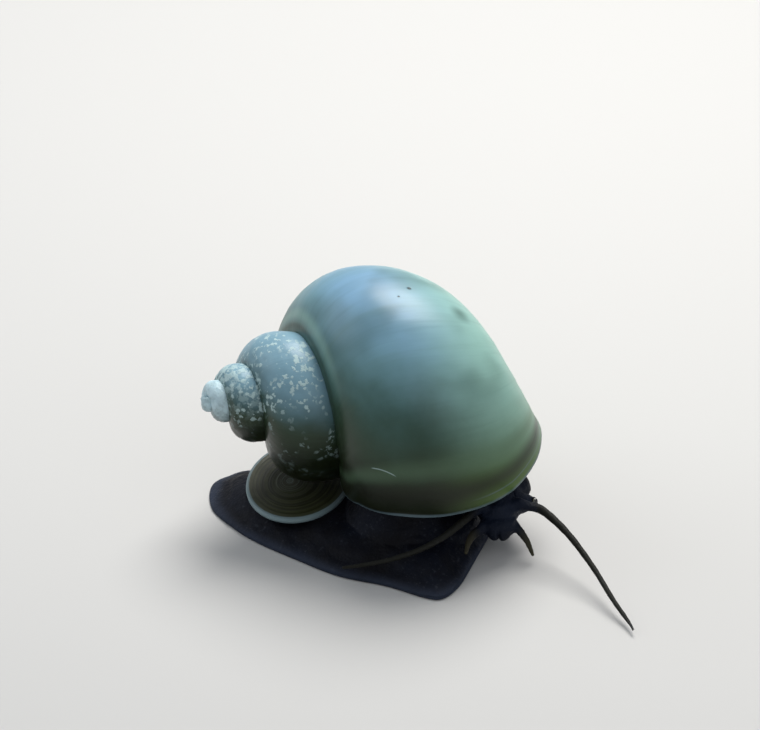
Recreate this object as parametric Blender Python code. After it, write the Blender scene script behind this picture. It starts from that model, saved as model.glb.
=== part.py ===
"""Apple snail, life size, crawling with its head turned to its right.

World axes: +X is the way the foot points, +Y is the animal's left, +Z is up.
The floor is z = 0, and the origin is on the floor under the middle of the whole animal.
"""

import math

import bmesh
import bpy
from mathutils import Vector

# Lengths below are in millimetres and angles in degrees.
# Places are measured from a point on the floor behind the animal, and ORIGIN is where the
# part's own origin lies from there.
MM = 0.001
ORIGIN = Vector((66.95, -0.8, 0.0))
# Air left between neighbours, edges short enough to be merged away, and the reach of a weld.
GAP = 0.3
SHORTEST_EDGE = 0.004
WELD = 0.01
ON_PLANE = 0.001

# Shell: one oval section grows along a spiral round an axis that runs from apex to base.
SHELL_APEX = Vector((34.63, -12.24, 18.43))
SHELL_HEADING = 39.4
SHELL_PITCH = -3.8
SHELL_END_TURN = 95.5
SPIRAL_RADIUS = 10.37
SPIRAL_DROP = 31.41
SECTION_RADIUS = 12.17
GROWTH_PER_TURN = 2.011
APEX_FULLNESS = 0.016
SECTION_WAVES = ((2, -0.148, -0.005), (3, 0.038, -0.027), (4, -0.008, 0.010))
FIRST_TURN = -1480.0
SECTION_SIDES = 26
RING_STEP = 14.0

# Pillar round the shell's axis, a cone from near the apex: shares of its length and its size.
CORE_SHARES = (0.08, 0.5, 1.0)
CORE_RADIUS = 1.1
CORE_LENGTH = 34.0
CORE_SIDES = 12

# How far the lip runs ahead of the reference section, by the angle round the section.
LIP_LEAD = ((-95, 58), (-83, 47), (-65, 29), (-38, 19.5), (0, 16), (45, 13), (71, 8),
            (90, 5), (130, 10), (180, 22), (230, 42))
LEAD_RAMP = 168.0

# Hollow behind the lip and the mantle in it: the turns where they start and the hollow ends,
# and the wall round them.
SHELL_WALL = 1.0
HOLLOW_START = -72.0
MANTLE_START = -69.0
PAST_LIP = 10.0

# The whorls that bulge into the hollow, and the skin of shell left over them.
EARLIER_FIRST = -600.0
EARLIER_LAST = -84.0
SKIN = 0.05

# Plane of the aperture, and how far inside it the mantle stops.
APERTURE_MIDDLE = Vector((68.97, -4.85, 9.04))
APERTURE_FACING = Vector((0.0545, 0.2296, -0.9718)).normalized()
MANTLE_RECESS = 1.2

# Foot: the outline of the sole, clockwise seen from above, starting at the tip of the tail.
FOOT_OUTLINE = ((33.4, -4.0), (34.6, 0.0), (37.0, 2.4), (42.5, 6.2), (50.0, 8.7), (60.0, 9.9),
                (68.0, 9.8), (71.0, 8.6), (72.2, 3.5), (73.3, -2.7), (74.1, -7.2), (74.8, -12.0),
                (74.3, -15.6), (72.2, -16.6), (66.0, -16.3), (59.2, -16.9), (52.2, -15.7),
                (45.6, -14.2), (41.0, -12.3), (36.2, -9.2))
FOOT_POINTS_PER_SPAN = 3
FOOT_SPINE = (Vector((44.0, -3.2)), Vector((63.5, -3.3)))
FOOT_HALF_WIDTH = 13.0
# Each step over the margin: how far in from the outline, and how high.
FOOT_STEPS = ((0.3, 0.0), (0.0, 0.35), (0.3, 0.8), (1.1, 1.3), (2.2, 1.8), (3.3, 2.4), (4.3, 2.95))
TAIL_TIP_X = 33.0
TAIL_FULL_X = 45.0
TAIL_TIP_HEIGHT = 0.6
TAIL_CUT_X = 54.0

# Operculum: a thin oval plate that lies on the tail.
OPERCULUM_MIDDLE = Vector((46.1, -2.9, 3.7))
OPERCULUM_HEADING = 108.0
OPERCULUM_HALF_LENGTH = 10.5
OPERCULUM_HALF_WIDTH = 7.0
OPERCULUM_HALF_THICKNESS = 0.4
OPERCULUM_DISH = 0.15
OPERCULUM_SIDES = 34
# Rings over its edge, from underneath to the top: share of its half sizes, and side of its middle.
OPERCULUM_RINGS = ((0.35, -1.0), (0.7, -1.0), (0.93, -1.0), (1.0, -0.5),
                   (1.0, 0.5), (0.93, 1.0), (0.7, 1.0), (0.35, 1.0))

# Stalk of the body between the sole and the aperture: height, half length and half width.
STALK_MIDDLE = Vector((62.4, -1.8))
STALK_LEVELS = ((3.25, 8.0, 8.4), (4.6, 6.9, 7.8), (6.6, 5.9, 7.4), (9.0, 5.6, 7.3), (14.0, 5.6, 7.2))

# Head: turned to the animal's right. Offsets on it are forward, left and up.
HEAD_HEADING = -63.0
HEAD_MIDDLE = Vector((74.2, 0.8, 5.7))
HEAD_HALF_SIZE = (3.7, 3.05, 2.7)
SNOUT_OFFSET = (2.5, 0.0, -1.3)
SNOUT_HALF_SIZE = (2.5, 2.5, 1.8)
NECK_PATH = ((63.0, 2.6, 7.0), (69.5, 4.6, 6.7), (72.6, 4.3, 6.5), (74.5, 1.6, 6.0))
NECK_RADII = (3.4, 3.3, 3.2, 2.6)
NECK_FROM_X = 68.6
HEAD_FROM = -2.2
SNOUT_FROM = 2.1
HEAD_SEGMENTS = 18
SNOUT_SEGMENTS = 15
NECK_SIDES = 4

# Feelers: paths with a radius at each point, and the lengths each long one is parted into.
LEFT_TENTACLE = ((76.0, 0.3, 6.4), (78.0, 0.6, 6.9), (80.4, 1.1, 6.6), (85.3, -1.0, 5.4),
                 (90.7, -4.3, 3.4), (95.3, -8.0, 1.9), (98.7, -10.6, 1.0), (100.4, -12.2, 0.7))
RIGHT_TENTACLE = ((74.0, -0.8, 6.4), (73.1, -2.6, 6.8), (72.3, -5.0, 6.3), (71.0, -8.4, 5.2),
                  (69.1, -11.6, 4.3), (66.4, -14.3, 3.5), (63.2, -16.4, 2.8), (60.4, -17.6, 2.2))
TENTACLE_RADII = (0.75, 0.72, 0.65, 0.52, 0.43, 0.36, 0.3, 0.16)
TENTACLE_LENGTHS = 3
LEFT_PALP = ((75.9, -0.4, 4.6), (77.5, -0.9, 4.2), (78.6, -1.2, 3.7),
             (79.6, -1.4, 2.7), (80.5, -1.6, 1.1))
RIGHT_PALP = ((74.9, -2.1, 4.6), (73.8, -3.6, 4.3), (73.3, -5.0, 4.0),
              (73.4, -6.6, 3.6), (73.9, -8.3, 3.2))
PALP_RADII = (0.75, 0.72, 0.6, 0.42, 0.2)
# Points on each span of a path, and the steps of each quarter round a tube.
FEELER_STEPS = 4
FEELER_SIDES = 2

# Eyes on short stalks at the sides of the head.
EYE_OFFSET = (-0.3, 4.75, 0.5)
EYE_RADIUS = 0.5
EYE_SEGMENTS = 9
EYE_STALK_SIDES = 3
EYE_STALK_ROOT = (-0.1, 1.8, 0.35)
EYE_STALK_RADII = (1.1, 0.95, 0.75)

# Breathing tube, folded short, at the animal's left under the shell.
SIPHON = ((71.2, 6.4, 8.2), (72.9, 8.3, 9.0), (74.2, 9.6, 9.4))
SIPHON_RADII = (1.5, 1.35, 1.15)

# Colour and roughness of each node that isn't plain flesh.
NODE_COLOURS = {
    "shell": ((0.16, 0.25, 0.24), 0.35),
    "operculum": ((0.13, 0.12, 0.07), 0.45),
    "foot": ((0.012, 0.013, 0.02), 0.5),
    "tail": ((0.016, 0.018, 0.03), 0.5),
    "eye_left": ((0.01, 0.01, 0.012), 0.1),
    "eye_right": ((0.01, 0.01, 0.012), 0.1),
    "palp_left": ((0.05, 0.05, 0.035), 0.5),
    "palp_right": ((0.05, 0.05, 0.035), 0.5),
}
FLESH_COLOUR = ((0.015, 0.018, 0.028), 0.5)


def axes_along(heading, pitch):
    """Unit vectors along a heading and pitch, square above it, and square to both."""
    turn = math.radians(heading)
    tilt = math.radians(pitch)
    along = Vector((math.cos(tilt) * math.cos(turn), math.cos(tilt) * math.sin(turn), math.sin(tilt)))
    above = (Vector((0, 0, 1)) - along * along.z).normalized()
    return along, above, along.cross(above)


SHELL_ALONG, SHELL_ABOVE, SHELL_ASIDE = axes_along(SHELL_HEADING, SHELL_PITCH)
HEAD_FORWARD, HEAD_UP, HEAD_RIGHT = axes_along(HEAD_HEADING, 0.0)


def head_place(offset):
    """Place of an offset given as forward, left and up from the head's middle."""
    forward, left, up = offset
    return HEAD_MIDDLE + HEAD_FORWARD * forward - HEAD_RIGHT * left + HEAD_UP * up


def to_world(place):
    """Layout millimetres to the part's own metres."""
    return (Vector(place) - ORIGIN) * MM


def smooth_step(value):
    """0 below 0, 1 above 1 and an easy curve between."""
    value = min(max(value, 0.0), 1.0)
    return value * value * (3.0 - 2.0 * value)


def spline_point(before, start, end, after, share):
    """Point on a smooth curve from start to end, with its neighbours on both sides."""
    drift = (end - before) * 0.5
    pull = (after - start) * 0.5
    square = share * share
    cube = square * share
    return (start * (2 * cube - 3 * square + 1) + drift * (cube - 2 * square + share)
            + end * (3 * square - 2 * cube) + pull * (cube - square))


def smooth_path(points, steps, closed=False):
    """Points on a smooth curve through the given ones."""
    points = [Vector(point) for point in points]
    count = len(points)
    spans = count if closed else count - 1
    path = []
    for span in range(spans):
        picks = [span - 1, span, span + 1, span + 2]
        if closed:
            picks = [pick % count for pick in picks]
        else:
            picks = [min(max(pick, 0), count - 1) for pick in picks]
        corners = [points[pick] for pick in picks]
        for step in range(steps):
            path.append(spline_point(*corners, step / steps))
    if not closed:
        path.append(points[-1])
    return path


def smooth_sizes(radii):
    """Radii that change smoothly along a feeler's path."""
    return [size.x for size in smooth_path([(radius, 0.0, 0.0) for radius in radii], FEELER_STEPS)]


def lip_lead(around):
    """Degrees by which the lip leads the reference section at an angle round the section."""
    first = LIP_LEAD[0][0]
    around = (around - first) % 360.0 + first
    table = LIP_LEAD + ((first + 360.0, LIP_LEAD[0][1]),)
    for (low, low_lead), (high, high_lead) in zip(table, table[1:]):
        if around <= high:
            share = (around - low) / (high - low)
            return low_lead + (high_lead - low_lead) * share
    return table[-1][1]


def shell_point(turn, around, outward):
    """Point of the spiral tube: degrees of turn past the end, degrees round the section."""
    turns = turn / 360.0
    size = GROWTH_PER_TURN ** turns * math.exp(APEX_FULLNESS * turns * turns)
    angle = math.radians(around)
    wave = 1.0
    for count, cosine, sine in SECTION_WAVES:
        wave += cosine * math.cos(count * angle) + sine * math.sin(count * angle)
    radius = size * SECTION_RADIUS * wave + outward
    reach = size * SPIRAL_RADIUS + radius * math.cos(angle)
    drop = size * SPIRAL_DROP + radius * math.sin(angle)
    heading = math.radians(SHELL_END_TURN + turn)
    aside = SHELL_ABOVE * math.cos(heading) + SHELL_ASIDE * math.sin(heading)
    return SHELL_APEX + SHELL_ALONG * drop + aside * reach


def shell_ring(turn, outward=0.0):
    """One growth ring of the tube, leaning more and more towards the lip's own slant."""
    lean = smooth_step((turn + LEAD_RAMP) / LEAD_RAMP)
    ring = []
    for side in range(SECTION_SIDES):
        around = 360.0 * side / SECTION_SIDES
        ring.append(shell_point(turn + lean * lip_lead(around), around, outward))
    return ring


def tube_rings(start, end, outward=0.0):
    """Growth rings from one turn to another."""
    count = max(2, round((end - start) / RING_STEP) + 1)
    return [shell_ring(start + (end - start) * index / (count - 1), outward) for index in range(count)]


def mesh_object(name, bm, collection):
    """A mesh object with outward faces, its place in its mesh."""
    bmesh.ops.recalc_face_normals(bm, faces=bm.faces)
    mesh = bpy.data.meshes.new(name)
    bm.to_mesh(mesh)
    bm.free()
    thing = bpy.data.objects.new(name, mesh)
    collection.objects.link(thing)
    return thing


def loft(name, rings, collection):
    """A closed body through rings of equal count, with a fan over each end."""
    bm = bmesh.new()
    rows = [[bm.verts.new(to_world(point)) for point in ring] for ring in rings]
    for lower, upper in zip(rows, rows[1:]):
        for index in range(len(lower)):
            bm.faces.new((lower[index - 1], lower[index], upper[index], upper[index - 1]))
    for ring, row in ((rings[0], rows[0]), (rings[-1], rows[-1])):
        middle = bm.verts.new(to_world(sum(ring, Vector((0, 0, 0))) / len(ring)))
        for index in range(len(row)):
            bm.faces.new((row[index - 1], row[index], middle))
    bmesh.ops.triangulate(bm, faces=[face for face in bm.faces if len(face.verts) > 3])
    return mesh_object(name, bm, collection)


def oval_ring(middle, heading, half_length, half_width, sides, height):
    """Level oval round a place."""
    turn = math.radians(heading)
    along = Vector((math.cos(turn), math.sin(turn), 0.0))
    across = Vector((-along.y, along.x, 0.0))
    ring = []
    for side in range(sides):
        angle = 2.0 * math.pi * side / sides
        level = Vector((middle.x, middle.y, height))
        ring.append(level + along * half_length * math.cos(angle) + across * half_width * math.sin(angle))
    return ring


def ball(name, place, half_size, heading, segments, collection):
    """A rounded body of three half sizes: forward, left and up."""
    forward, up, right = axes_along(heading, 0.0)
    bm = bmesh.new()
    bmesh.ops.create_uvsphere(bm, u_segments=segments, v_segments=segments * 2 // 3, radius=1.0)
    for vertex in bm.verts:
        x, y, z = vertex.co
        offset = forward * x * half_size[0] - right * y * half_size[1] + up * z * half_size[2]
        vertex.co = to_world(place + offset)
    bmesh.ops.triangulate(bm, faces=[face for face in bm.faces if len(face.verts) > 3])
    return mesh_object(name, bm, collection)


def tube(name, points, radii, resolution, collection):
    """A round tube of changing radius along a smooth path, as a closed mesh."""
    path = smooth_path(points, FEELER_STEPS)
    return path_tube(name, path, smooth_sizes(radii), resolution, collection)


def path_tube(name, path, sizes, resolution, collection):
    """A round tube through ready points, one radius at each, made from a bevelled curve."""
    curve = bpy.data.curves.new(name, "CURVE")
    curve.dimensions = "3D"
    curve.bevel_depth = MM
    curve.bevel_resolution = resolution
    curve.use_fill_caps = True
    spline = curve.splines.new("POLY")
    spline.points.add(len(path) - 1)
    for point, place, size in zip(spline.points, path, sizes):
        point.co = (*to_world(place), 1.0)
        point.radius = size
    guide = bpy.data.objects.new(name, curve)
    collection.objects.link(guide)
    depsgraph = bpy.context.evaluated_depsgraph_get()
    mesh = bpy.data.meshes.new_from_object(guide.evaluated_get(depsgraph))
    bm = bmesh.new()
    bm.from_mesh(mesh)
    bmesh.ops.remove_doubles(bm, verts=bm.verts, dist=WELD * MM)
    bmesh.ops.triangulate(bm, faces=[face for face in bm.faces if len(face.verts) > 3])
    bpy.data.objects.remove(guide)
    bpy.data.meshes.remove(mesh)
    return mesh_object(name, bm, collection)


def surface_volume(faces):
    """Volume inside one closed surface."""
    total = 0.0
    for face in faces:
        corners = [vertex.co for vertex in face.verts]
        for index in range(1, len(corners) - 1):
            total += corners[0].dot(corners[index].cross(corners[index + 1])) / 6.0
    return abs(total)


def keep_largest(bm):
    """Drop all but the largest closed surface."""
    left = set(bm.faces)
    surfaces = []
    while left:
        stack = [left.pop()]
        surface = []
        while stack:
            face = stack.pop()
            surface.append(face)
            for edge in face.edges:
                for other in edge.link_faces:
                    if other in left:
                        left.remove(other)
                        stack.append(other)
        surfaces.append(surface)
    surfaces.sort(key=surface_volume)
    for surface in surfaces[:-1]:
        bmesh.ops.delete(bm, geom=surface, context="FACES")


def combine(base, others, operation, solver="MANIFOLD", folds=False):
    """Join other closed bodies to the base, or cut it by them, in one Boolean."""
    helpers = bpy.data.collections.new("joined pieces")
    bpy.context.scene.collection.children.link(helpers)
    for other in others:
        for holder in list(other.users_collection):
            holder.objects.unlink(other)
        helpers.objects.link(other)
    modifier = base.modifiers.new("combine", "BOOLEAN")
    modifier.operation = operation
    modifier.solver = solver
    modifier.use_self = folds
    modifier.operand_type = "COLLECTION"
    modifier.collection = helpers
    depsgraph = bpy.context.evaluated_depsgraph_get()
    mesh = bpy.data.meshes.new_from_object(base.evaluated_get(depsgraph))
    base.modifiers.remove(modifier)
    bm = bmesh.new()
    bm.from_mesh(mesh)
    bmesh.ops.triangulate(bm, faces=[face for face in bm.faces if len(face.verts) > 3])
    if folds:
        bmesh.ops.dissolve_degenerate(bm, edges=bm.edges, dist=SHORTEST_EDGE * MM)
        bmesh.ops.triangulate(bm, faces=[face for face in bm.faces if len(face.verts) > 3])
    keep_largest(bm)
    bm.to_mesh(base.data)
    bm.free()
    bpy.data.meshes.remove(mesh)
    for other in others:
        bpy.data.objects.remove(other)
    bpy.data.collections.remove(helpers)
    return base


def copy_of(thing, name, collection, outward=0.0):
    """A copy of a mesh object, with its surface moved outward where asked."""
    mesh = thing.data.copy()
    bm = bmesh.new()
    bm.from_mesh(mesh)
    bm.normal_update()
    for vertex in bm.verts:
        vertex.co += vertex.normal * outward * MM
    bm.to_mesh(mesh)
    bm.free()
    double = bpy.data.objects.new(name, mesh)
    collection.objects.link(double)
    return double


def cut_plane(thing, place, facing):
    """Keep what lies behind a plane, and close the cut with a flat face."""
    bm = bmesh.new()
    bm.from_mesh(thing.data)
    geometry = bm.verts[:] + bm.edges[:] + bm.faces[:]
    cut = bmesh.ops.bisect_plane(bm, geom=geometry, dist=ON_PLANE * MM, plane_co=to_world(place),
                                 plane_no=facing, clear_outer=True)
    edges = [item for item in cut["geom_cut"] if isinstance(item, bmesh.types.BMEdge)]
    bmesh.ops.triangle_fill(bm, use_beauty=True, edges=edges, normal=facing)
    keep_largest(bm)
    bmesh.ops.recalc_face_normals(bm, faces=bm.faces)
    bm.to_mesh(thing.data)
    bm.free()
    return thing


def make_whorls(collection, first, last, outward=0.0):
    """Whorls from first to last turn as one solid: a tube that is joined where it folds on itself."""
    whorls = loft("whorls", tube_rings(first, last, outward), collection)
    return combine(whorls, [shell_core(collection)], "UNION", "EXACT", True)


def make_hollow(collection, start, inset, clearance):
    """Space inside the lip, clear of the whorl that bulges into it."""
    hollow = loft("hollow", tube_rings(start, PAST_LIP, -inset), collection)
    earlier = make_whorls(collection, EARLIER_FIRST, EARLIER_LAST, clearance)
    return combine(hollow, [earlier], "DIFFERENCE")


def make_shell(collection):
    """The shell: spire and body whorl as one piece, with a hollow inside the lip."""
    shell = make_whorls(collection, FIRST_TURN, 0.0)
    shell.name = "shell"
    hollow = make_hollow(collection, HOLLOW_START, SHELL_WALL, SKIN)
    combine(shell, [hollow], "DIFFERENCE")


def shell_core(collection):
    """The solid pillar round the shell's axis."""
    rings = []
    for share in CORE_SHARES:
        middle = SHELL_APEX + SHELL_ALONG * CORE_LENGTH * share
        ring = []
        for side in range(CORE_SIDES):
            angle = 2.0 * math.pi * side / CORE_SIDES
            aside = SHELL_ABOVE * math.cos(angle) + SHELL_ASIDE * math.sin(angle)
            ring.append(middle + aside * CORE_RADIUS * share)
        rings.append(ring)
    return loft("core", rings, collection)


def make_mantle(collection):
    """The soft mantle that fills the shell's mouth up to just inside the lip."""
    mantle = make_hollow(collection, MANTLE_START, SHELL_WALL + GAP, SKIN + GAP)
    mantle.name = "mantle"
    edge = APERTURE_MIDDLE - APERTURE_FACING * MANTLE_RECESS
    cut_plane(mantle, edge, APERTURE_FACING)


def foot_rings():
    """Level outlines of the foot, from the sole up over the margin."""
    outline = smooth_path(FOOT_OUTLINE, FOOT_POINTS_PER_SPAN, closed=True)
    back, front = FOOT_SPINE
    rings = []
    for inset, height in FOOT_STEPS:
        ring = []
        for point in outline:
            share = (point - back).dot(front - back) / (front - back).length_squared
            nearest = back + (front - back) * min(max(share, 0.0), 1.0)
            place = nearest + (point - nearest) * (1.0 - inset / FOOT_HALF_WIDTH)
            rise = smooth_step((place.x - TAIL_TIP_X) / (TAIL_FULL_X - TAIL_TIP_X))
            fullness = TAIL_TIP_HEIGHT + (1.0 - TAIL_TIP_HEIGHT) * rise
            ring.append(Vector((place.x, place.y, height * fullness)))
        rings.append(ring)
    return rings


def make_foot(collection):
    """The foot and the tail, parted by a thin cut."""
    foot = loft("foot", foot_rings(), collection)
    tail = copy_of(foot, "tail", collection)
    cut_plane(foot, (TAIL_CUT_X + GAP / 2, 0, 0), Vector((-1, 0, 0)))
    cut_plane(tail, (TAIL_CUT_X - GAP / 2, 0, 0), Vector((1, 0, 0)))


def make_operculum(collection):
    """The oval lid, a thin plate with a slightly raised rim."""
    rings = []
    for share, side in OPERCULUM_RINGS:
        height = OPERCULUM_MIDDLE.z + side * OPERCULUM_HALF_THICKNESS
        if side > 0.0:
            height += OPERCULUM_DISH * (share * share - 1.0)
        rings.append(oval_ring(OPERCULUM_MIDDLE, OPERCULUM_HEADING, OPERCULUM_HALF_LENGTH * share,
                               OPERCULUM_HALF_WIDTH * share, OPERCULUM_SIDES, height))
    loft("operculum", rings, collection)


def make_body(collection):
    """Stalk, neck, head and snout as one closed body."""
    levels = []
    for height, half_length, half_width in STALK_LEVELS:
        levels.append(oval_ring(STALK_MIDDLE, 0.0, half_length, half_width, SECTION_SIDES, height))
    body = loft("body", levels, collection)
    neck = tube("neck", NECK_PATH, NECK_RADII, NECK_SIDES, collection)
    head = ball("head", HEAD_MIDDLE, HEAD_HALF_SIZE, HEAD_HEADING, HEAD_SEGMENTS, collection)
    snout_place = head_place(SNOUT_OFFSET)
    snout = ball("snout", snout_place, SNOUT_HALF_SIZE, HEAD_HEADING, SNOUT_SEGMENTS, collection)
    combine(body, [neck, head, snout], "UNION")
    top = APERTURE_MIDDLE - APERTURE_FACING * (MANTLE_RECESS - GAP)
    return cut_plane(body, top, -APERTURE_FACING)


def part_body(body, collection):
    """Part the body into stalk, neck, head and snout by thin flat cuts."""
    half = GAP / 2
    neck_plane = Vector((NECK_FROM_X, 0, 0))
    head_plane = head_place((HEAD_FROM, 0, 0))
    snout_plane = head_place((SNOUT_FROM, 0, 0))
    ahead = Vector((1, 0, 0))
    stalk = copy_of(body, "stalk", collection)
    cut_plane(stalk, neck_plane - ahead * half, ahead)
    neck = copy_of(body, "neck", collection)
    cut_plane(neck, neck_plane + ahead * half, -ahead)
    cut_plane(neck, head_plane - HEAD_FORWARD * half, HEAD_FORWARD)
    head = copy_of(body, "head", collection)
    cut_plane(head, neck_plane + ahead * half, -ahead)
    cut_plane(head, head_plane + HEAD_FORWARD * half, -HEAD_FORWARD)
    cut_plane(head, snout_plane - HEAD_FORWARD * half, HEAD_FORWARD)
    snout = copy_of(body, "snout", collection)
    cut_plane(snout, neck_plane + ahead * half, -ahead)
    cut_plane(snout, snout_plane + HEAD_FORWARD * half, -HEAD_FORWARD)


def make_tentacle(side, points, body, collection):
    """One tentacle, parted into a few lengths with a thin gap between them."""
    path = smooth_path(points, FEELER_STEPS)
    sizes = smooth_sizes(TENTACLE_RADII)
    spans = (len(path) - 1) // TENTACLE_LENGTHS
    lengths = []
    for index in range(TENTACLE_LENGTHS):
        first = index * spans
        last = len(path) - 1 if index == TENTACLE_LENGTHS - 1 else first + spans
        places = [place.copy() for place in path[first:last + 1]]
        if index:
            places[0] += (places[1] - places[0]).normalized() * GAP
        name = "tentacle_%s_%d" % (side, index + 1)
        lengths.append(path_tube(name, places, sizes[first:last + 1], FEELER_SIDES, collection))
    combine(lengths[0], [copy_of(body, "body clearance", collection, GAP)], "DIFFERENCE")


def make_feeler(name, points, radii, body, collection):
    """A short feeler that meets the body face to face."""
    feeler = tube(name, points, radii, FEELER_SIDES, collection)
    combine(feeler, [copy_of(body, "body clearance", collection, GAP)], "DIFFERENCE")


def make_eye(side, sign, body, collection):
    """An eye and the short stalk that carries it."""
    forward, left, up = EYE_OFFSET
    place = head_place((forward, left * sign, up))
    ball("eye_" + side, place, (EYE_RADIUS,) * 3, HEAD_HEADING, EYE_SEGMENTS, collection)
    forward, left, up = EYE_STALK_ROOT
    root = head_place((forward, left * sign, up))
    top = place + (root - place).normalized() * (EYE_RADIUS + GAP)
    path = [root, root.lerp(top, 0.5), top]
    stalk = path_tube("eyestalk_" + side, path, EYE_STALK_RADII, EYE_STALK_SIDES, collection)
    combine(stalk, [copy_of(body, "body clearance", collection, GAP)], "DIFFERENCE")


def give_material(thing):
    """A material of the node's own."""
    colour, roughness = NODE_COLOURS.get(thing.name, FLESH_COLOUR)
    material = bpy.data.materials.new(thing.name + " finish")
    material.use_nodes = True
    shader = material.node_tree.nodes["Principled BSDF"]
    shader.inputs["Base Color"].default_value = (*colour, 1.0)
    shader.inputs["Roughness"].default_value = roughness
    shader.inputs["Metallic"].default_value = 0.0
    thing.data.materials.clear()
    thing.data.materials.append(material)
    thing.data.shade_smooth()


def main():
    """Build the whole animal, from the shell to the eyes."""
    for thing in list(bpy.data.objects):
        bpy.data.objects.remove(thing)
    snail = bpy.data.collections.new("apple_snail")
    bpy.context.scene.collection.children.link(snail)

    make_shell(snail)
    make_mantle(snail)
    make_foot(snail)
    make_operculum(snail)
    body = make_body(snail)
    part_body(body, snail)
    make_tentacle("left", LEFT_TENTACLE, body, snail)
    make_tentacle("right", RIGHT_TENTACLE, body, snail)
    make_feeler("palp_left", LEFT_PALP, PALP_RADII, body, snail)
    make_feeler("palp_right", RIGHT_PALP, PALP_RADII, body, snail)
    make_feeler("siphon", SIPHON, SIPHON_RADII, body, snail)
    make_eye("left", 1.0, body, snail)
    make_eye("right", -1.0, body, snail)
    bpy.data.objects.remove(body)
    for thing in snail.objects:
        give_material(thing)


main()
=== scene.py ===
"""Apple snail, life size: its shell, horny lid, skin and eyes, on a plain pale floor in soft light.

Lengths are in metres. Places are given in millimetres in the same layout as the solids, measured
from a point on the floor behind the animal, and turned to the model's own frame by to_world.
"""

import math
from contextlib import contextmanager

import bmesh
import bpy
from bpy.props import FloatProperty, FloatVectorProperty, IntProperty, PointerProperty
from mathutils import Matrix, Vector, noise


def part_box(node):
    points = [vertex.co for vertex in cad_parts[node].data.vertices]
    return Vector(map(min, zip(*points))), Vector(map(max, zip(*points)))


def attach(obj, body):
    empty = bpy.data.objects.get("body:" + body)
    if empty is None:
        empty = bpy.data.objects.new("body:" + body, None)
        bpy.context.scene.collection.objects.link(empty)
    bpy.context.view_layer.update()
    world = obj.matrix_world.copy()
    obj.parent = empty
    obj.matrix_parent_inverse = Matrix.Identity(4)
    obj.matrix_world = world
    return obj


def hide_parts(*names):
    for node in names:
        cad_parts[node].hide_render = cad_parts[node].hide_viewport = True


bl_info = {
    "name": "Apple Snail",
    "version": (1, 0, 0),
    "blender": (4, 5, 0),
    "location": "View3D > Sidebar > Snail",
    "description": "Builds a life-size apple snail with a coiled shell, in a plain studio",
    "category": "Add Mesh",
}

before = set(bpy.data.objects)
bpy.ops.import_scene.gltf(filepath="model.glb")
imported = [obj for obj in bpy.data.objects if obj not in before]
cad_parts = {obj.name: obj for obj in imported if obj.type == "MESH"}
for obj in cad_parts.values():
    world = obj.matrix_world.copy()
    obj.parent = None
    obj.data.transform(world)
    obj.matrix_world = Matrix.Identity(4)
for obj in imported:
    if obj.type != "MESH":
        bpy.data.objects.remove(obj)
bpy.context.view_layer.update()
SHELL_LOW, SHELL_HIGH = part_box("shell")

MM = 0.001
ORIGIN = Vector((66.95, -0.8, 0.0))
# Points of a mesh that lie closer together than this become one.
WELD = 0.00001

# Shell: one oval section that grows along a spiral round an axis from apex to base.
SHELL_APEX = Vector((34.63, -12.24, 18.43))
SHELL_HEADING = 39.4
SHELL_PITCH = -3.8
SHELL_END_TURN = 95.5
SPIRAL_RADIUS = 10.37
SPIRAL_DROP = 31.41
SECTION_RADIUS = 12.17
GROWTH_PER_TURN = 2.011
APEX_FULLNESS = 0.016
SECTION_WAVES = ((2, -0.148, -0.005), (3, 0.038, -0.027), (4, -0.008, 0.010))
# Its rings, in degrees of turn before the lip: coarse on the spire and fine on the newest whorl.
FIRST_TURN = -1480.0
SPIRE_STEP = 4.0
BODY_TURN = -400.0
BODY_STEP = 2.5
# Lead of the lip: degrees round the section, and degrees of turn. It builds up over a last stretch.
LIP_LEAD = ((-95, 58), (-83, 47), (-65, 29), (-38, 19.5), (0, 16), (45, 13), (71, 8),
            (90, 5), (130, 10), (180, 22), (230, 42))
LEAD_RAMP = 168.0
# Rounded edge of the lip: degrees past the last ring, and share of the lip's thickness inward.
LIP_EDGE = ((0.25, 0.06), (0.42, 0.25), (0.48, 0.5), (0.42, 0.75), (0.25, 0.94), (0.0, 1.0))
# Inner wall: how far back it runs, by which step, and over how many rings it thickens.
INNER_LAST = -72.0
INNER_STEP = 6.0
INNER_THICKENING_RINGS = 3.0
# Relief: degrees of turn and noise scale of the swells and ridges, and where the spire is worn.
SWELL_TURN = 70.0
SWELL_SCALE = 2.1
RIDGE_TURN = 5.0
RIDGE_ROUND = 0.6
RIDGE_SEED = 3.7
WORN_BEFORE = 330.0
WORN_FADE = 90.0
PIT_SCALE = 0.9
PIT_LEVEL = 0.12
PIT_SHARPNESS = 5.0

# Stretches of the shell in turns of growth before the lip: where each begins, and where it is full.
STRIP_STRETCH = (-0.75, -0.55)
FRESH_STRETCH = (-0.85, -0.60)
SPIRE_END = (-0.95, -0.75)
FLECKS_END = (-1.0, -0.85)
OLDER_END = (-2.35, -1.9)
TIP_END = (-3.05, -2.75)
LIP_LINE = (-0.0042, -0.0012)
# Bands across the growth, by middle and half width in turns, and then along it, in turns round.
PALE_BAND = (-0.055, 0.018)
DARK_BAND = (-0.026, 0.020)
REST_BAND = (-0.0125, 0.0018)
SHOULDER_STRIP = (0.787, 0.022)
# Painted shade: a dark line in the groove of the suture, where the whorls meet.
SUTURE_SHADE = (0.765, 0.010)
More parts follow.
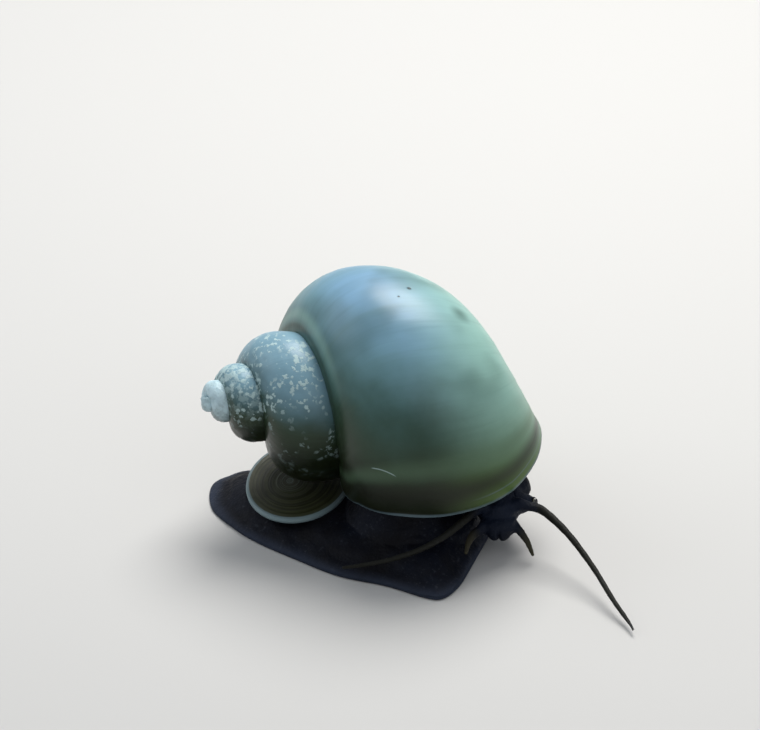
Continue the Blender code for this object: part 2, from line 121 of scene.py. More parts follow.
# Marks, each placed by turns of growth and turns round the tube: worn pits with their radius in
# metres, a dark bruise with its radius, and a scratch with its length, slope, bend and half width.
SHELL_PITS = ((-0.2313, 0.022, 0.0004), (-0.2152, 0.985, 0.00022))
SHELL_BRUISE = (-0.1980, 0.125, 0.0021)
SHELL_SCRATCH = (-0.0640, 0.850, 0.045, 0.10, 4.5, 0.0011)
SCRATCH_BEGIN = 0.004
SCRATCH_FADE = 0.008

# Foot: outline of the sole, clockwise seen from above, from the tip of the tail.
FOOT_OUTLINE = ((33.4, -4.0), (34.6, 0.0), (37.0, 2.4), (42.5, 6.2), (50.0, 8.7), (60.0, 9.9),
                (68.0, 9.8), (71.0, 8.6), (72.2, 3.5), (73.3, -2.7), (74.1, -7.2), (74.8, -12.0),
                (74.3, -15.6), (72.2, -16.6), (66.0, -16.3), (59.2, -16.9), (52.2, -15.7),
                (45.6, -14.2), (41.0, -12.3), (36.2, -9.2))
FOOT_POINTS_PER_SPAN = 14
FOOT_SPINE = (Vector((44.0, -3.2)), Vector((63.5, -3.3)))
FOOT_HALF_WIDTH = 13.0
# Each step over the sole, the margin and the back: how far in from the outline, and how high.
FOOT_STEPS = ((11.5, 0.0), (8.0, 0.0), (4.5, 0.0), (1.5, 0.0), (0.45, 0.0), (0.10, 0.10),
              (0.0, 0.33), (0.06, 0.58), (0.35, 0.85), (1.1, 1.25), (2.2, 1.75), (3.3, 2.35),
              (4.6, 3.0), (6.5, 3.4), (9.0, 3.6), (11.5, 3.65))
FOOT_RINGS_PER_STEP = 3
TAIL_TIP_X = 33.0
TAIL_FULL_X = 45.0
TAIL_TIP_HEIGHT = 0.6

# Stalk of the body between the sole and the aperture: height, half length and half width.
STALK_MIDDLE = Vector((62.4, -1.8))
STALK_LEVELS = ((0.9, 9.6, 9.7), (1.9, 9.7, 9.8), (2.9, 9.4, 9.6), (3.6, 8.9, 9.2),
                (4.3, 8.1, 8.6), (5.2, 7.2, 8.0), (6.6, 6.3, 7.6), (9.0, 5.7, 7.4),
                (13.0, 5.6, 7.2))
STALK_SIDES = 64
TRUNK_SMOOTHING = 6

# Head: turned to the animal's right. Offsets on it are forward, left and up.
HEAD_HEADING = -63.0
HEAD_MIDDLE = Vector((74.2, 0.8, 5.7))
HEAD_SMOOTHING = 4
NECK_PATH = ((60.8, 0.0, 11.2), (64.6, 2.8, 9.2), (68.6, 4.4, 7.6), (72.4, 4.3, 6.6),
             (74.5, 1.6, 6.0))
NECK_RADII = (4.6, 4.3, 3.8, 3.25, 2.6)
NECK_STEPS = 4
NECK_SIDES = 40
# Rounded forms of the head: offset from its middle, and half sizes forward, left and up. They are
# the skull, the snout, the two lips, the brow and the nape.
HEAD_FORMS = (((0.0, 0.0, 0.0), (3.7, 3.05, 2.7)),
              ((2.5, 0.0, -1.3), (2.5, 2.5, 1.8)),
              ((3.75, 0.42, -1.7), (1.4, 1.25, 1.3)),
              ((3.75, -0.42, -1.7), (1.4, 1.25, 1.3)),
              ((1.4, 0.0, 1.1), (2.1, 1.5, 1.3)),
              ((-3.5, 2.3, 0.7), (2.2, 2.0, 2.1)))
HEAD_FORM_SEGMENTS = 48
# Mouth: its slit is pressed back and a little up, on the points that lie in front of its floor.
MOUTH_OFFSET = (4.6, 0.0, -2.1)
MOUTH_HALF_HEIGHT = 1.0
MOUTH_HALF_WIDTH = 0.2
MOUTH_DEPTH = 0.5
MOUTH_RISE = 0.45
MOUTH_REACH = 3.0
MOUTH_FLOOR = 1.4

# Feelers, from root to tip: the tentacles and the shorter palps.
LEFT_TENTACLE = ((75.6, 0.2, 6.0), (76.6, 0.4, 6.6), (78.0, 0.6, 6.9), (80.4, 1.1, 6.6),
                 (85.3, -1.0, 5.4), (90.7, -4.3, 3.4), (95.3, -8.0, 1.9), (98.7, -10.6, 1.0),
                 (100.4, -12.2, 0.7))
RIGHT_TENTACLE = ((74.1, -0.3, 5.9), (73.8, -1.3, 6.4), (73.1, -2.6, 6.8), (72.3, -5.0, 6.3),
                  (71.0, -8.4, 5.2), (69.1, -11.6, 4.3), (66.4, -14.3, 3.5), (63.2, -16.4, 2.8),
                  (60.4, -17.6, 2.2))
TENTACLE_RADII = (0.8, 0.76, 0.7, 0.58, 0.46, 0.38, 0.33, 0.28, 0.2)
LEFT_PALP = ((75.4, -0.6, 4.5), (76.2, -0.6, 4.5), (77.5, -0.9, 4.2), (78.6, -1.2, 3.7),
             (79.6, -1.4, 2.7), (80.5, -1.6, 1.1))
RIGHT_PALP = ((75.0, -1.6, 4.5), (74.7, -2.4, 4.55), (73.8, -3.6, 4.3), (73.3, -5.0, 4.0),
              (73.4, -6.6, 3.6), (73.9, -8.3, 3.2))
PALP_RADII = (0.85, 0.8, 0.7, 0.56, 0.4, 0.22)
FEELERS = (("tentacle_left", LEFT_TENTACLE, TENTACLE_RADII),
           ("tentacle_right", RIGHT_TENTACLE, TENTACLE_RADII),
           ("palp_left", LEFT_PALP, PALP_RADII), ("palp_right", RIGHT_PALP, PALP_RADII))
FEELER_STEPS = 8
FEELER_SIDES = 20
FEELER_RING_SIZE = 0.035
FEELER_RING_RATE = 1.9
# Rounded tip: how far ahead, and how wide, in radii of the last point.
FEELER_TIP = ((0.5, 0.87), (0.87, 0.5))
# Swollen roots that grow out of the head, in shares of the feeler's radius at its first points.
ROOT_SWELL = (1.9, 1.5, 1.12, 0.7)
ROOT_STEPS = 6
ROOT_SIDES = 24

SIPHON = ((69.3, 4.8, 7.8), (71.0, 6.4, 8.5), (72.8, 8.3, 9.3), (74.3, 9.7, 10.0))
SIPHON_RADII = (2.4, 1.65, 1.12, 1.05)
SIPHON_STEPS = 6
# Its rounded rim and its bore: steps back from its end, and radius.
SIPHON_BORE = ((-1, 0.95), (-1, 0.84), (-2, 0.74), (-4, 0.66), (-7, 0.6), (-10, 0.5))
STALK_FACES = 36

EYE_SIDES = (("left", 1.0), ("right", -1.0))
EYE_OFFSET = (-0.3, 4.75, 0.5)
EYE_LOOK = (0.55, 0.6, 0.55)
EYE_SEGMENTS = 48
EYE_RINGS = 32
EYE_SOCKET_CLEARANCE = 0.03
# Edge of the clear front, and the pale ring's middle and half width, in degrees from the look.
CORNEA_EDGE = 55.0
EYE_RING = (46.0, 14.0)
EYE_STALK_ROOT = (-0.1, 1.8, 0.35)
EYE_STALK_RADII = (1.9, 1.5, 0.98, 0.74)
EYE_STALK_BEND = 0.75
# Rounded end of the stalk round the eye: how far past the eye's middle, and its radius.
EYE_COLLAR = ((-0.15, 0.66), (0.0, 0.62), (0.1, 0.55), (0.16, 0.42))
EYE_COLLAR_STEPS = 3

# Bodies of the skin, as build_skin numbers them: the tentacles, the palps and the eye stalks.
TENTACLE_BODIES = (1, 2)
PALP_BODIES = (3, 4)
EYE_STALK_BODIES = (6, 7)
# Change of colour along a feeler: how far from its root it starts, and over what length.
TENTACLE_FADE = (3.1, 2.8)
PALP_FADE = (2.5, 2.6)
PALP_TIP_FADE = (2.5, 3.6)
# Seams where they join: rings of points that are smoothed on each side, how often, how strongly.
SEAM_RINGS = 3
SEAM_ROUNDS = 8
SEAM_EASE = 0.5
# Folds and bumps of the skin: how often they come to a millimetre, and where they die away.
FOLD_RATE = 0.45
FOLD_RATE_UPWARD = 1.6
BUMP_RATE = 1.4
FINE_RATE = 3.1
FINE_SHIFT = Vector((7.0, 0.0, 0.0))
FINE_SHARE = 0.6
FEELER_CALM = 0.9
SOLE_CALM = 0.9
# Groove round the front edge of the foot, where the slime comes out.
GROOVE_FROM_X = 72.0
GROOVE_TOP = 1.3
GROOVE_HEIGHT = 0.62
GROOVE_HALF_WIDTH = 0.2
GROOVE_DEPTH = 0.28
STEEP = 0.5

FLESH_NODES = ("mantle", "foot", "tail", "stalk", "neck", "head", "snout", "palp_left",
               "palp_right", "siphon", "eyestalk_left", "eyestalk_right", "tentacle_left_1",
               "tentacle_left_2", "tentacle_left_3", "tentacle_right_1", "tentacle_right_2",
               "tentacle_right_3")

# Lid: an oval plate on the tail, with the middle of its growth off its centre.
LID_MIDDLE = Vector((46.1, -2.9, 3.7))
LID_HEADING = 108.0
LID_HALF_LENGTH = 10.5
LID_HALF_WIDTH = 7.0
LID_SIDES = 128
# Steps round its edge: share of the way out, and height in shares of the thickness.
LID_EDGE = ((0.5, 0.0), (0.90, 0.0), (0.97, 0.05), (0.99, 0.2), (1.0, 0.5), (0.993, 0.82),
            (0.975, 0.98), (0.955, 1.0), (0.94, 0.95))
LID_TOP_RINGS = 66
LID_SMALLEST = 0.02
LID_RINGS_TO_CENTRE = 20.0
LID_SEED = (0.3, 0.9)

# Lights: name, place, size and colour. All of them face a point on the shell.
LIGHTS = (("key", (-0.05, 0.20, 0.32), 0.24, (1.0, 0.98, 0.95)),
          ("fill", (0.32, -0.22, 0.32), 0.45, (1.0, 1.0, 1.0)),
          ("side", (-0.34, -0.06, 0.24), 0.30, (0.9, 0.95, 1.0)))
LIGHT_AIM = Vector((0.0, 0.0, 0.015))

FLOOR_SIDES = 96

# Camera: the photograph's angle, and the width of the scene that its frame takes in.
VIEW_AZIMUTH = 27.0
VIEW_ELEVATION = 30.0
VIEW_CENTRE = Vector((56.2, 1.3, 22.4))
VIEW_WIDTH = 0.1013
VIEW_DISTANCE = 1.2
SENSOR_WIDTH = 36.0


def axes_along(heading, pitch):
    """Unit vectors along a heading and pitch, square above it, and to its right."""
    turn = math.radians(heading)
    tilt = math.radians(pitch)
    level = math.cos(tilt)
    along = Vector((level * math.cos(turn), level * math.sin(turn), math.sin(tilt)))
    above = (Vector((0, 0, 1)) - along * along.z).normalized()
    return along, above, along.cross(above)


SHELL_ALONG, SHELL_ABOVE, SHELL_ASIDE = axes_along(SHELL_HEADING, SHELL_PITCH)
HEAD_FORWARD, HEAD_UP, HEAD_RIGHT = axes_along(HEAD_HEADING, 0.0)


def to_world(place):
    """Layout millimetres to the model's metres."""
    return (Vector(place) - ORIGIN) * MM


def head_place(offset):
    """Layout place of an offset given as forward, left and up from the head's middle."""
    forward, left, up = offset
    return HEAD_MIDDLE + HEAD_FORWARD * forward - HEAD_RIGHT * left + HEAD_UP * up


def smooth_step(value):
    """0 below 0, 1 above 1 and an easy curve between."""
    value = min(max(value, 0.0), 1.0)
    return value * value * (3.0 - 2.0 * value)


def spline_point(before, start, end, after, share):
    """Point on a smooth curve from start to end, with its neighbours on both sides."""
    drift = (end - before) * 0.5
    pull = (after - start) * 0.5
    square = share * share
    cube = square * share
    return (start * (2 * cube - 3 * square + 1) + drift * (cube - 2 * square + share)
            + end * (3 * square - 2 * cube) + pull * (cube - square))


def smooth_path(points, steps, closed=False):
    """Points on a smooth curve through the given ones."""
    points = [Vector(point) for point in points]
    count = len(points)
    path = []
    for span in range(count if closed else count - 1):
        picks = [span - 1, span, span + 1, span + 2]
        if closed:
            picks = [pick % count for pick in picks]
        else:
            picks = [min(max(pick, 0), count - 1) for pick in picks]
        corners = [points[pick] for pick in picks]
        for step in range(steps):
            path.append(spline_point(*corners, step / steps))
    if not closed:
        path.append(points[-1])
    return path


def smooth_sizes(radii, steps):
    """Radii that change smoothly along a path."""
    return [size.x for size in smooth_path([(radius, 0.0, 0.0) for radius in radii], steps)]


def angles_round(count):
    """Evenly spaced angles round a full turn."""
    return [2.0 * math.pi * number / count for number in range(count)]


class Sleeve:
    """A skin that grows ring by ring: each rim is extruded and set on the next ring of points."""

    def __init__(self, bm):
        self.bm = bm
        self.side = bm.verts.layers.int.get("side") or bm.verts.layers.int.new("side")
        self.first = None
        self.rim = None

    def grow(self, points):
        """Add the next ring, from its points in world metres, and return its vertices."""
        if self.rim is None:
            ring = bmesh.ops.create_circle(self.bm, radius=1.0, segments=len(points))["verts"]
            for number, vertex in enumerate(ring):
                vertex[self.side] = number
            self.rim = list(dict.fromkeys(edge for vertex in ring for edge in vertex.link_edges))
            self.first = list(self.rim)
        else:
            grown = bmesh.ops.extrude_edge_only(self.bm, edges=self.rim)["geom"]
            ring = [item for item in grown if isinstance(item, bmesh.types.BMVert)]
            ends = set(ring)
            self.rim = [item for item in grown
                        if isinstance(item, bmesh.types.BMEdge) and ends.issuperset(item.verts)]
        for vertex in ring:
            vertex.co = points[vertex[self.side]]
        return ring

    def close(self):
        """Close both ends with a fan of faces, and return the middle point of each."""
        middles = []
        for rim in (self.first, self.rim):
            cap = bmesh.ops.contextual_create(self.bm, geom=rim)["faces"]
            middles += bmesh.ops.poke(self.bm, faces=cap)["verts"]
        return middles


def add_sleeve(bm, rings):
    """A closed body through rings of layout points."""
    sleeve = Sleeve(bm)
    for ring in rings:
        sleeve.grow([to_world(point) for point in ring])
    sleeve.close()


def add_tube(bm, path, sizes, sides, bore=()):
    """A round closed tube of changing radius along a path of layout points.

    A bore runs back into its far end, by steps that each give a place on the path and a radius.
    """
    sleeve = Sleeve(bm)
    upward = Vector((0, 0, 1))
    frames = []
    for index, middle in enumerate(path):
        ahead = path[min(index + 1, len(path) - 1)] - path[max(index - 1, 0)]
        across = ahead.cross(upward).normalized()
        upward = across.cross(ahead).normalized()
        frames.append((middle, across, upward))
    for index, size in [*enumerate(sizes), *bore]:
        middle, across, above = frames[index]
        outward = [across * math.cos(angle) + above * math.sin(angle)
                   for angle in angles_round(sides)]
        sleeve.grow([to_world(middle + way * size) for way in outward])
    sleeve.close()


def add_ball(bm, middle, turn, half_sizes, segments, rings):
    """A rounded body at a layout point, turned and stretched to its half sizes in metres."""
    size = Matrix.Diagonal((*half_sizes, 1.0))
    place = Matrix.Translation(to_world(middle)) @ turn @ size
    bmesh.ops.create_uvsphere(bm, u_segments=segments, v_segments=rings, radius=1.0, matrix=place)


def add_eyeball(bm, sign, radius):
    """A ball at an eye's place, with its pole on the way that the eye looks."""
    turn = eye_look(sign).to_track_quat("Z", "Y").to_matrix().to_4x4()
    add_ball(bm, eye_place(sign), turn, (radius,) * 3, EYE_SEGMENTS, EYE_RINGS)


@contextmanager
def edited(mesh):
    """A mesh opened as a bmesh and written back at the end."""
    bm = bmesh.new()
    bm.from_mesh(mesh)
    yield bm
    bm.to_mesh(mesh)
    bm.free()


def finish_mesh(bm, name, collection):
    """Turn a bmesh into an object with outward, smooth faces."""
    bmesh.ops.recalc_face_normals(bm, faces=bm.faces)
    mesh = bpy.data.meshes.new(name)
    bm.to_mesh(mesh)
    bm.free()
    mesh.shade_smooth()
    piece = bpy.data.objects.new(name, mesh)
    collection.objects.link(piece)
    return piece


def settle_modifiers(piece):
    """Replace a piece's mesh by what its modifiers make of it, and drop them."""
    depsgraph = bpy.context.evaluated_depsgraph_get()
    mesh = bpy.data.meshes.new_from_object(piece.evaluated_get(depsgraph))
    piece.modifiers.clear()
    old = piece.data
    piece.data = mesh
    bpy.data.meshes.remove(old)
    mesh.name = piece.name


def lip_lead(around):
    """Degrees by which the lip leads the reference section at an angle round the section."""
    first = LIP_LEAD[0][0]
    around = (around - first) % 360.0 + first
    round_again = Vector((360.0, 0.0))
    table = [Vector((angle, lead)) for angle, lead in LIP_LEAD]
    places = [table[-1] - round_again, *table, table[0] + round_again, table[1] + round_again]
    for before, start, end, after in zip(places, places[1:], places[2:], places[3:]):
        if around <= end.x:
            share = (around - start.x) / (end.x - start.x)
            return spline_point(before, start, end, after, share).y
    return table[0].y


def shell_size(turn):
    """Size of the tube at a turn, as a share of its size at the reference section."""
    turns = turn / 360.0
    return GROWTH_PER_TURN ** turns * math.exp(APEX_FULLNESS * turns * turns)


def shell_point(turn, around, outward):
    """World point of the spiral tube: degrees of turn, degrees round the section, mm outward."""
    size = shell_size(turn)
    angle = math.radians(around)
    wave = 1.0
    for count, cosine, sine in SECTION_WAVES:
        wave += cosine * math.cos(count * angle) + sine * math.sin(count * angle)
    radius = size * SECTION_RADIUS * wave + outward
    reach = size * SPIRAL_RADIUS + radius * math.cos(angle)
    drop = size * SPIRAL_DROP + radius * math.sin(angle)
    heading = math.radians(SHELL_END_TURN + turn)
    aside = SHELL_ABOVE * math.cos(heading) + SHELL_ASIDE * math.sin(heading)
    return to_world(SHELL_APEX + SHELL_ALONG * drop + aside * reach)


def shell_relief(turn, around, settings):
    """How far the surface stands out in mm: growth ridges, slow swells and worn pits."""
    size = shell_size(turn)
    angle = math.radians(around)
    ring = Vector((math.cos(angle), math.sin(angle), turn / SWELL_TURN))
    swell = noise.noise(ring * SWELL_SCALE) * settings.swell / MM * size
    line = Vector((turn / RIDGE_TURN, math.sin(angle) * RIDGE_ROUND, RIDGE_SEED))
    ridge = noise.noise(line) * settings.ridge / MM * size
    worn = smooth_step((-turn - WORN_BEFORE) / WORN_FADE)
    cloud = noise.noise(shell_point(turn, around, 0.0) / MM * PIT_SCALE)
    pit = smooth_step((cloud - PIT_LEVEL) * PIT_SHARPNESS) * settings.pit / MM * worn
    return swell + ridge - pit


def build_shell(settings, collection):
    """The shell: a tube coiled from apex to lip, with a rounded lip and an inner wall."""
    bm = bmesh.new()
    sleeve = Sleeve(bm)
    turn_of = bm.verts.layers.float.new("turn")
    around_of = bm.verts.layers.float.new("around")
    leads = [lip_lead(360.0 * side / settings.sides) for side in range(settings.sides)]

    def ring(turn, outward, relief):
        lean = smooth_step((turn + LEAD_RAMP) / LEAD_RAMP)
        points = []
        for side, lead in enumerate(leads):
            around = 360.0 * side / settings.sides
            led = turn + lean * lead
            stand = shell_relief(led, around, settings) if relief else 0.0
            points.append(shell_point(led, around, outward + stand))
        for vertex in sleeve.grow(points):
            vertex[turn_of] = turn
            vertex[around_of] = 360.0 * vertex[sleeve.side] / settings.sides

    spire = round((BODY_TURN - FIRST_TURN) / SPIRE_STEP)
    for index in range(spire):
        ring(FIRST_TURN + SPIRE_STEP * index, 0.0, True)
    body = round(-BODY_TURN / BODY_STEP)
    for index in range(body + 1):
        ring(BODY_TURN + BODY_STEP * index, 0.0, True)
    thickness = settings.lip / MM
    for ahead, inward in LIP_EDGE:
        ring(ahead, -thickness * inward, False)
    inner = round(-INNER_LAST / INNER_STEP)
    for index in range(1, inner + 1):
        share = smooth_step(index / INNER_THICKENING_RINGS)
        wall = thickness + (settings.wall / MM - thickness) * share
        ring(-INNER_STEP * index, -wall, False)
    sleeve.close()

    growth = bm.loops.layers.uv.new("growth")
    for face in bm.faces:
        arounds = [loop.vert[around_of] for loop in face.loops]
        wraps = max(arounds) - min(arounds) > 180.0
        for loop, around in zip(face.loops, arounds):
            if wraps and around < 180.0:
                around += 360.0
            loop[growth].uv = (around / 360.0, loop.vert[turn_of] / 360.0)
    return finish_mesh(bm, "shell_coil", collection)


def build_lid(settings, collection):
    """The lid: a slightly dished oval plate, with growth rings round a point off its centre."""
    bm = bmesh.new()
    sleeve = Sleeve(bm)
    ring_of = bm.verts.layers.float.new("ring")
    turn = Matrix.Rotation(math.radians(LID_HEADING), 3, "Z")
    middle = to_world(LID_MIDDLE)

    def ring(share, height):
        points = []
        aside = settings.offset * (1.0 - share)
        for angle in angles_round(LID_SIDES):
            length = LID_HALF_LENGTH * MM * share * math.cos(angle)
            width = LID_HALF_WIDTH * MM * share * math.sin(angle) + aside
            points.append(middle + turn @ Vector((length, width, height - settings.thickness / 2)))
        for vertex in sleeve.grow(points):
            vertex[ring_of] = 1.0 - share

    for share, height in LID_EDGE:
        ring(share, height * settings.thickness)
    last_share, last_height = LID_EDGE[-1]
    for number in range(1, LID_TOP_RINGS + 1):
        share = last_share + (LID_SMALLEST - last_share) * number / LID_TOP_RINGS
        ridge = noise.noise(Vector((share * LID_RINGS_TO_CENTRE, *LID_SEED))) * settings.ridge
        dish = settings.dish * (1.0 - share * share)
        ring(share, last_height * settings.thickness - dish + ridge)
    for vertex in sleeve.close():
        vertex[ring_of] = 1.0
    return finish_mesh(bm, "lid_plate", collection)


def foot_rings():
    """Level outlines of the foot, from the sole up over the margin."""
    outline = smooth_path(FOOT_OUTLINE, FOOT_POINTS_PER_SPAN, closed=True)
    back, front = FOOT_SPINE
    steps = [(inset, height, 0.0) for inset, height in FOOT_STEPS]
    rings = []
    for step in smooth_path(steps, FOOT_RINGS_PER_STEP):
        inset = max(step.x, 0.0)
        height = max(step.y, 0.0)
        ring = []
        for point in outline:
            share = (point - back).dot(front - back) / (front - back).length_squared
            nearest = back + (front - back) * min(max(share, 0.0), 1.0)
            place = nearest + (point - nearest) * (1.0 - inset / FOOT_HALF_WIDTH)
            rise = smooth_step((place.x - TAIL_TIP_X) / (TAIL_FULL_X - TAIL_TIP_X))
            fullness = TAIL_TIP_HEIGHT + (1.0 - TAIL_TIP_HEIGHT) * rise
            ring.append(Vector((place.x, place.y, height * fullness)))
        rings.append(ring)
    return rings


def stalk_rings():
    """Level ovals of the stalk, from inside the foot up into the mantle."""
    rings = []
    for height, half_length, half_width in STALK_LEVELS:
        rings.append([Vector((STALK_MIDDLE.x + half_length * math.cos(angle),
                              STALK_MIDDLE.y + half_width * math.sin(angle), height))
                      for angle in angles_round(STALK_SIDES)])
    return rings


def remesh(piece, voxel, smoothing):
    """Fuse a piece's overlapping bodies into one even skin and ease its creases."""
    fuse = piece.modifiers.new("fuse", "REMESH")
    fuse.mode = "VOXEL"
    fuse.voxel_size = voxel
    ease = piece.modifiers.new("ease", "SMOOTH")
    ease.factor = 0.5
    ease.iterations = smoothing
    settle_modifiers(piece)


def build_foot(collection):
    """The foot with its tail, from the sole up over the margin to the back."""
    bm = bmesh.new()
    add_sleeve(bm, foot_rings())
    return finish_mesh(bm, "foot", collection)


def build_trunk(settings, collection):
    """The stalk and the mantle inside the shell's mouth, fused into one."""
    bm = bmesh.new()
    bm.from_mesh(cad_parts["mantle"].data)
    bmesh.ops.remove_doubles(bm, verts=bm.verts, dist=WELD)
    add_sleeve(bm, stalk_rings())
    trunk = finish_mesh(bm, "trunk", collection)
    remesh(trunk, settings.trunk_voxel, TRUNK_SMOOTHING)
    return trunk


def eye_place(sign):
    """Layout place of an eye's middle."""
    forward, left, up = EYE_OFFSET
    return head_place((forward, left * sign, up))


def eye_look(sign):
    """The way that an eye looks: forward, outward and up."""
    forward, left, up = EYE_LOOK
    return (HEAD_FORWARD * forward - HEAD_RIGHT * left * sign + HEAD_UP * up).normalized()


def build_head(settings, collection):
    """Neck, head, snout, lips and feeler roots, fused into one."""
    bm = bmesh.new()
    add_tube(bm, smooth_path(NECK_PATH, NECK_STEPS), smooth_sizes(NECK_RADII, NECK_STEPS),
             NECK_SIDES)
    turn = Matrix((HEAD_FORWARD, -HEAD_RIGHT, HEAD_UP)).transposed().to_4x4()
    for offset, half_sizes in HEAD_FORMS:
        add_ball(bm, head_place(offset), turn, [half * MM for half in half_sizes],
                 HEAD_FORM_SEGMENTS, HEAD_FORM_SEGMENTS // 2)
    for _, points, radii in FEELERS:
        root = [radius * swell for radius, swell in zip(radii, ROOT_SWELL)]
        add_tube(bm, smooth_path(points[:len(root)], ROOT_STEPS), smooth_sizes(root, ROOT_STEPS),
                 ROOT_SIDES)
    head = finish_mesh(bm, "head", collection)
    remesh(head, settings.head_voxel, HEAD_SMOOTHING)
    with edited(head.data) as bm:
        shape_mouth(bm)
    return head


def build_tube(name, path, sizes, sides, collection, bore=()):
    """A closed tube as an object of its own."""
    bm = bmesh.new()
    add_tube(bm, path, sizes, sides, bore)
    return finish_mesh(bm, name, collection)


def build_feeler(name, points, radii, collection):
    """A fine tapering tube with faint rings and a rounded tip."""
    path = smooth_path(points, FEELER_STEPS)
    sizes = [size * (1.0 + FEELER_RING_SIZE * math.sin(index * FEELER_RING_RATE))
             for index, size in enumerate(smooth_sizes(radii, FEELER_STEPS))]
    onward = (path[-1] - path[-2]).normalized()
    last = path[-1]
    for ahead, share in FEELER_TIP:
        path.append(last + onward * radii[-1] * ahead)
        sizes.append(radii[-1] * share)
    return build_tube(name, path, sizes, FEELER_SIDES, collection)


def build_eye_stalk(side, sign, collection):
    """The short stalk of an eye, bent to the way that the eye looks, with a rounded collar."""
    forward, left, up = EYE_STALK_ROOT
    root = head_place((forward, left * sign, up))
    middle = eye_place(sign)
    bend = middle - eye_look(sign) * EYE_STALK_BEND
    path = smooth_path([root, root.lerp(bend, 0.5), bend], FEELER_STEPS)
    sizes = smooth_sizes(EYE_STALK_RADII[:-1], FEELER_STEPS)
    collar = [middle + eye_look(sign) * ahead for ahead, _ in EYE_COLLAR]
    path += smooth_path([bend.lerp(collar[0], 0.5), *collar], EYE_COLLAR_STEPS)
    sizes += smooth_sizes([EYE_STALK_RADII[-1], *[radius for _, radius in EYE_COLLAR]],
                          EYE_COLLAR_STEPS)
    return build_tube("eyestalk_" + side, path, sizes, STALK_FACES, collection)


def shape_mouth(bm):
    """Press the slit of the mouth between the lips."""
    mouth = to_world(head_place(MOUTH_OFFSET))
    inward = (HEAD_FORWARD * -1.0 + HEAD_UP * MOUTH_RISE).normalized()
    for vertex in bm.verts:
        offset = (vertex.co - mouth) / MM
        if offset.length < MOUTH_REACH and offset.dot(inward) < MOUTH_FLOOR:
            left = offset.dot(HEAD_RIGHT) / MOUTH_HALF_WIDTH
            rise = offset.dot(HEAD_UP) / MOUTH_HALF_HEIGHT
            depth = math.exp(-left * left) * math.exp(-rise ** 4) * MOUTH_DEPTH
            vertex.co += inward * depth * MM


def cut_sockets(skin, radius, collection):
    """Cut a round socket for each eye into the end of its stalk."""
    balls = []
    for _, sign in EYE_SIDES:
        bm = bmesh.new()
        add_eyeball(bm, sign, radius + EYE_SOCKET_CLEARANCE * MM)
        balls.append(finish_mesh(bm, "socket", collection))
    combine(skin, balls, "DIFFERENCE", collection)


def mark_feelers(bm):
    """Store on every point how far out it lies on a feeler, and which ones lie on an eye stalk."""
    feeler_of = bm.verts.layers.float.new("feeler")
    palp_of = bm.verts.layers.float.new("palp")
    eye_stalk_of = bm.verts.layers.float.new("eye stalk")
    roots = {body: to_world(points[0]) for body, (_, points, _) in enumerate(FEELERS, start=1)}
    for face in bm.faces:
        body = face.material_index
        for vertex in face.verts:
            if body in EYE_STALK_BODIES:
                vertex[eye_stalk_of] = 1.0
            elif body in roots:
                away = (vertex.co - roots[body]).length / MM
                start, length = TENTACLE_FADE if body in TENTACLE_BODIES else PALP_FADE
                vertex[feeler_of] = smooth_step((away - start) / length)
                if body in PALP_BODIES:
                    start, length = PALP_TIP_FADE
                    vertex[palp_of] = smooth_step((away - start) / length)


def wrinkle(bm, settings):
    """Folds and small bumps of the skin, a groove round the foot's front edge, and a flat sole."""
    bm.normal_update()
    feeler_of = bm.verts.layers.float["feeler"]
    eye_stalk_of = bm.verts.layers.float["eye stalk"]
    front = to_world((GROOVE_FROM_X, 0.0, 0.0)).x
    for vertex in bm.verts:
        place = vertex.co / MM
        stretched = Vector((place.x * FOLD_RATE, place.y * FOLD_RATE, place.z * FOLD_RATE_UPWARD))
        fold = noise.noise(stretched) * settings.fold
        bump = noise.noise(place * BUMP_RATE) * settings.bump
        fine = noise.noise(place * FINE_RATE + FINE_SHIFT) * settings.bump * FINE_SHARE
        calm = 1.0 - FEELER_CALM * max(vertex[feeler_of], vertex[eye_stalk_of])
        calm *= smooth_step(place.z / SOLE_CALM)
        vertex.co += vertex.normal * (fold + bump + fine) * calm
        if vertex.co.x > front and vertex.co.z < GROOVE_TOP * MM and vertex.normal.z < STEEP:
            depth = math.exp(-((vertex.co.z / MM - GROOVE_HEIGHT) / GROOVE_HALF_WIDTH) ** 2)
            outward = Vector((vertex.normal.x, vertex.normal.y, 0.0))
            vertex.co -= outward * depth * GROOVE_DEPTH * MM
        vertex.co.z = max(vertex.co.z, 0.0)


def combine(base, others, operation, collection):
    """Join closed bodies to the base, or cut them out of it, and leave one closed skin."""
    helpers = bpy.data.collections.new("helpers")
    bpy.context.scene.collection.children.link(helpers)
    for other in others:
        collection.objects.unlink(other)
        helpers.objects.link(other)
    change = base.modifiers.new("combine", "BOOLEAN")
    change.operation = operation
    change.solver = "MANIFOLD"
    change.operand_type = "COLLECTION"
    change.collection = helpers
    before = len(base.data.vertices)
    settle_modifiers(base)
    for other in others:
        bpy.data.objects.remove(other)
    bpy.data.collections.remove(helpers)
    if len(base.data.vertices) == before:
        raise RuntimeError("the bodies of the skin weren't joined")


def number_bodies(bodies):
    """Give every face the number of its body, by way of its material."""
    for number, body in enumerate(bodies):
        for polygon in body.data.polygons:
            polygon.material_index = number
        for _ in bodies:
            body.data.materials.append(None)


def ease_seams(bm):
    """Smooth the skin along the lines where its bodies were joined."""
    near = set()
    for edge in bm.edges:
        if len({face.material_index for face in edge.link_faces}) > 1:
            near.update(edge.verts)
    for _ in range(SEAM_RINGS):
        near |= {edge.other_vert(vertex) for vertex in near for edge in vertex.link_edges}
    for _ in range(SEAM_ROUNDS):
        bmesh.ops.smooth_vert(bm, verts=list(near), factor=SEAM_EASE, use_axis_x=True,
                              use_axis_y=True, use_axis_z=True)


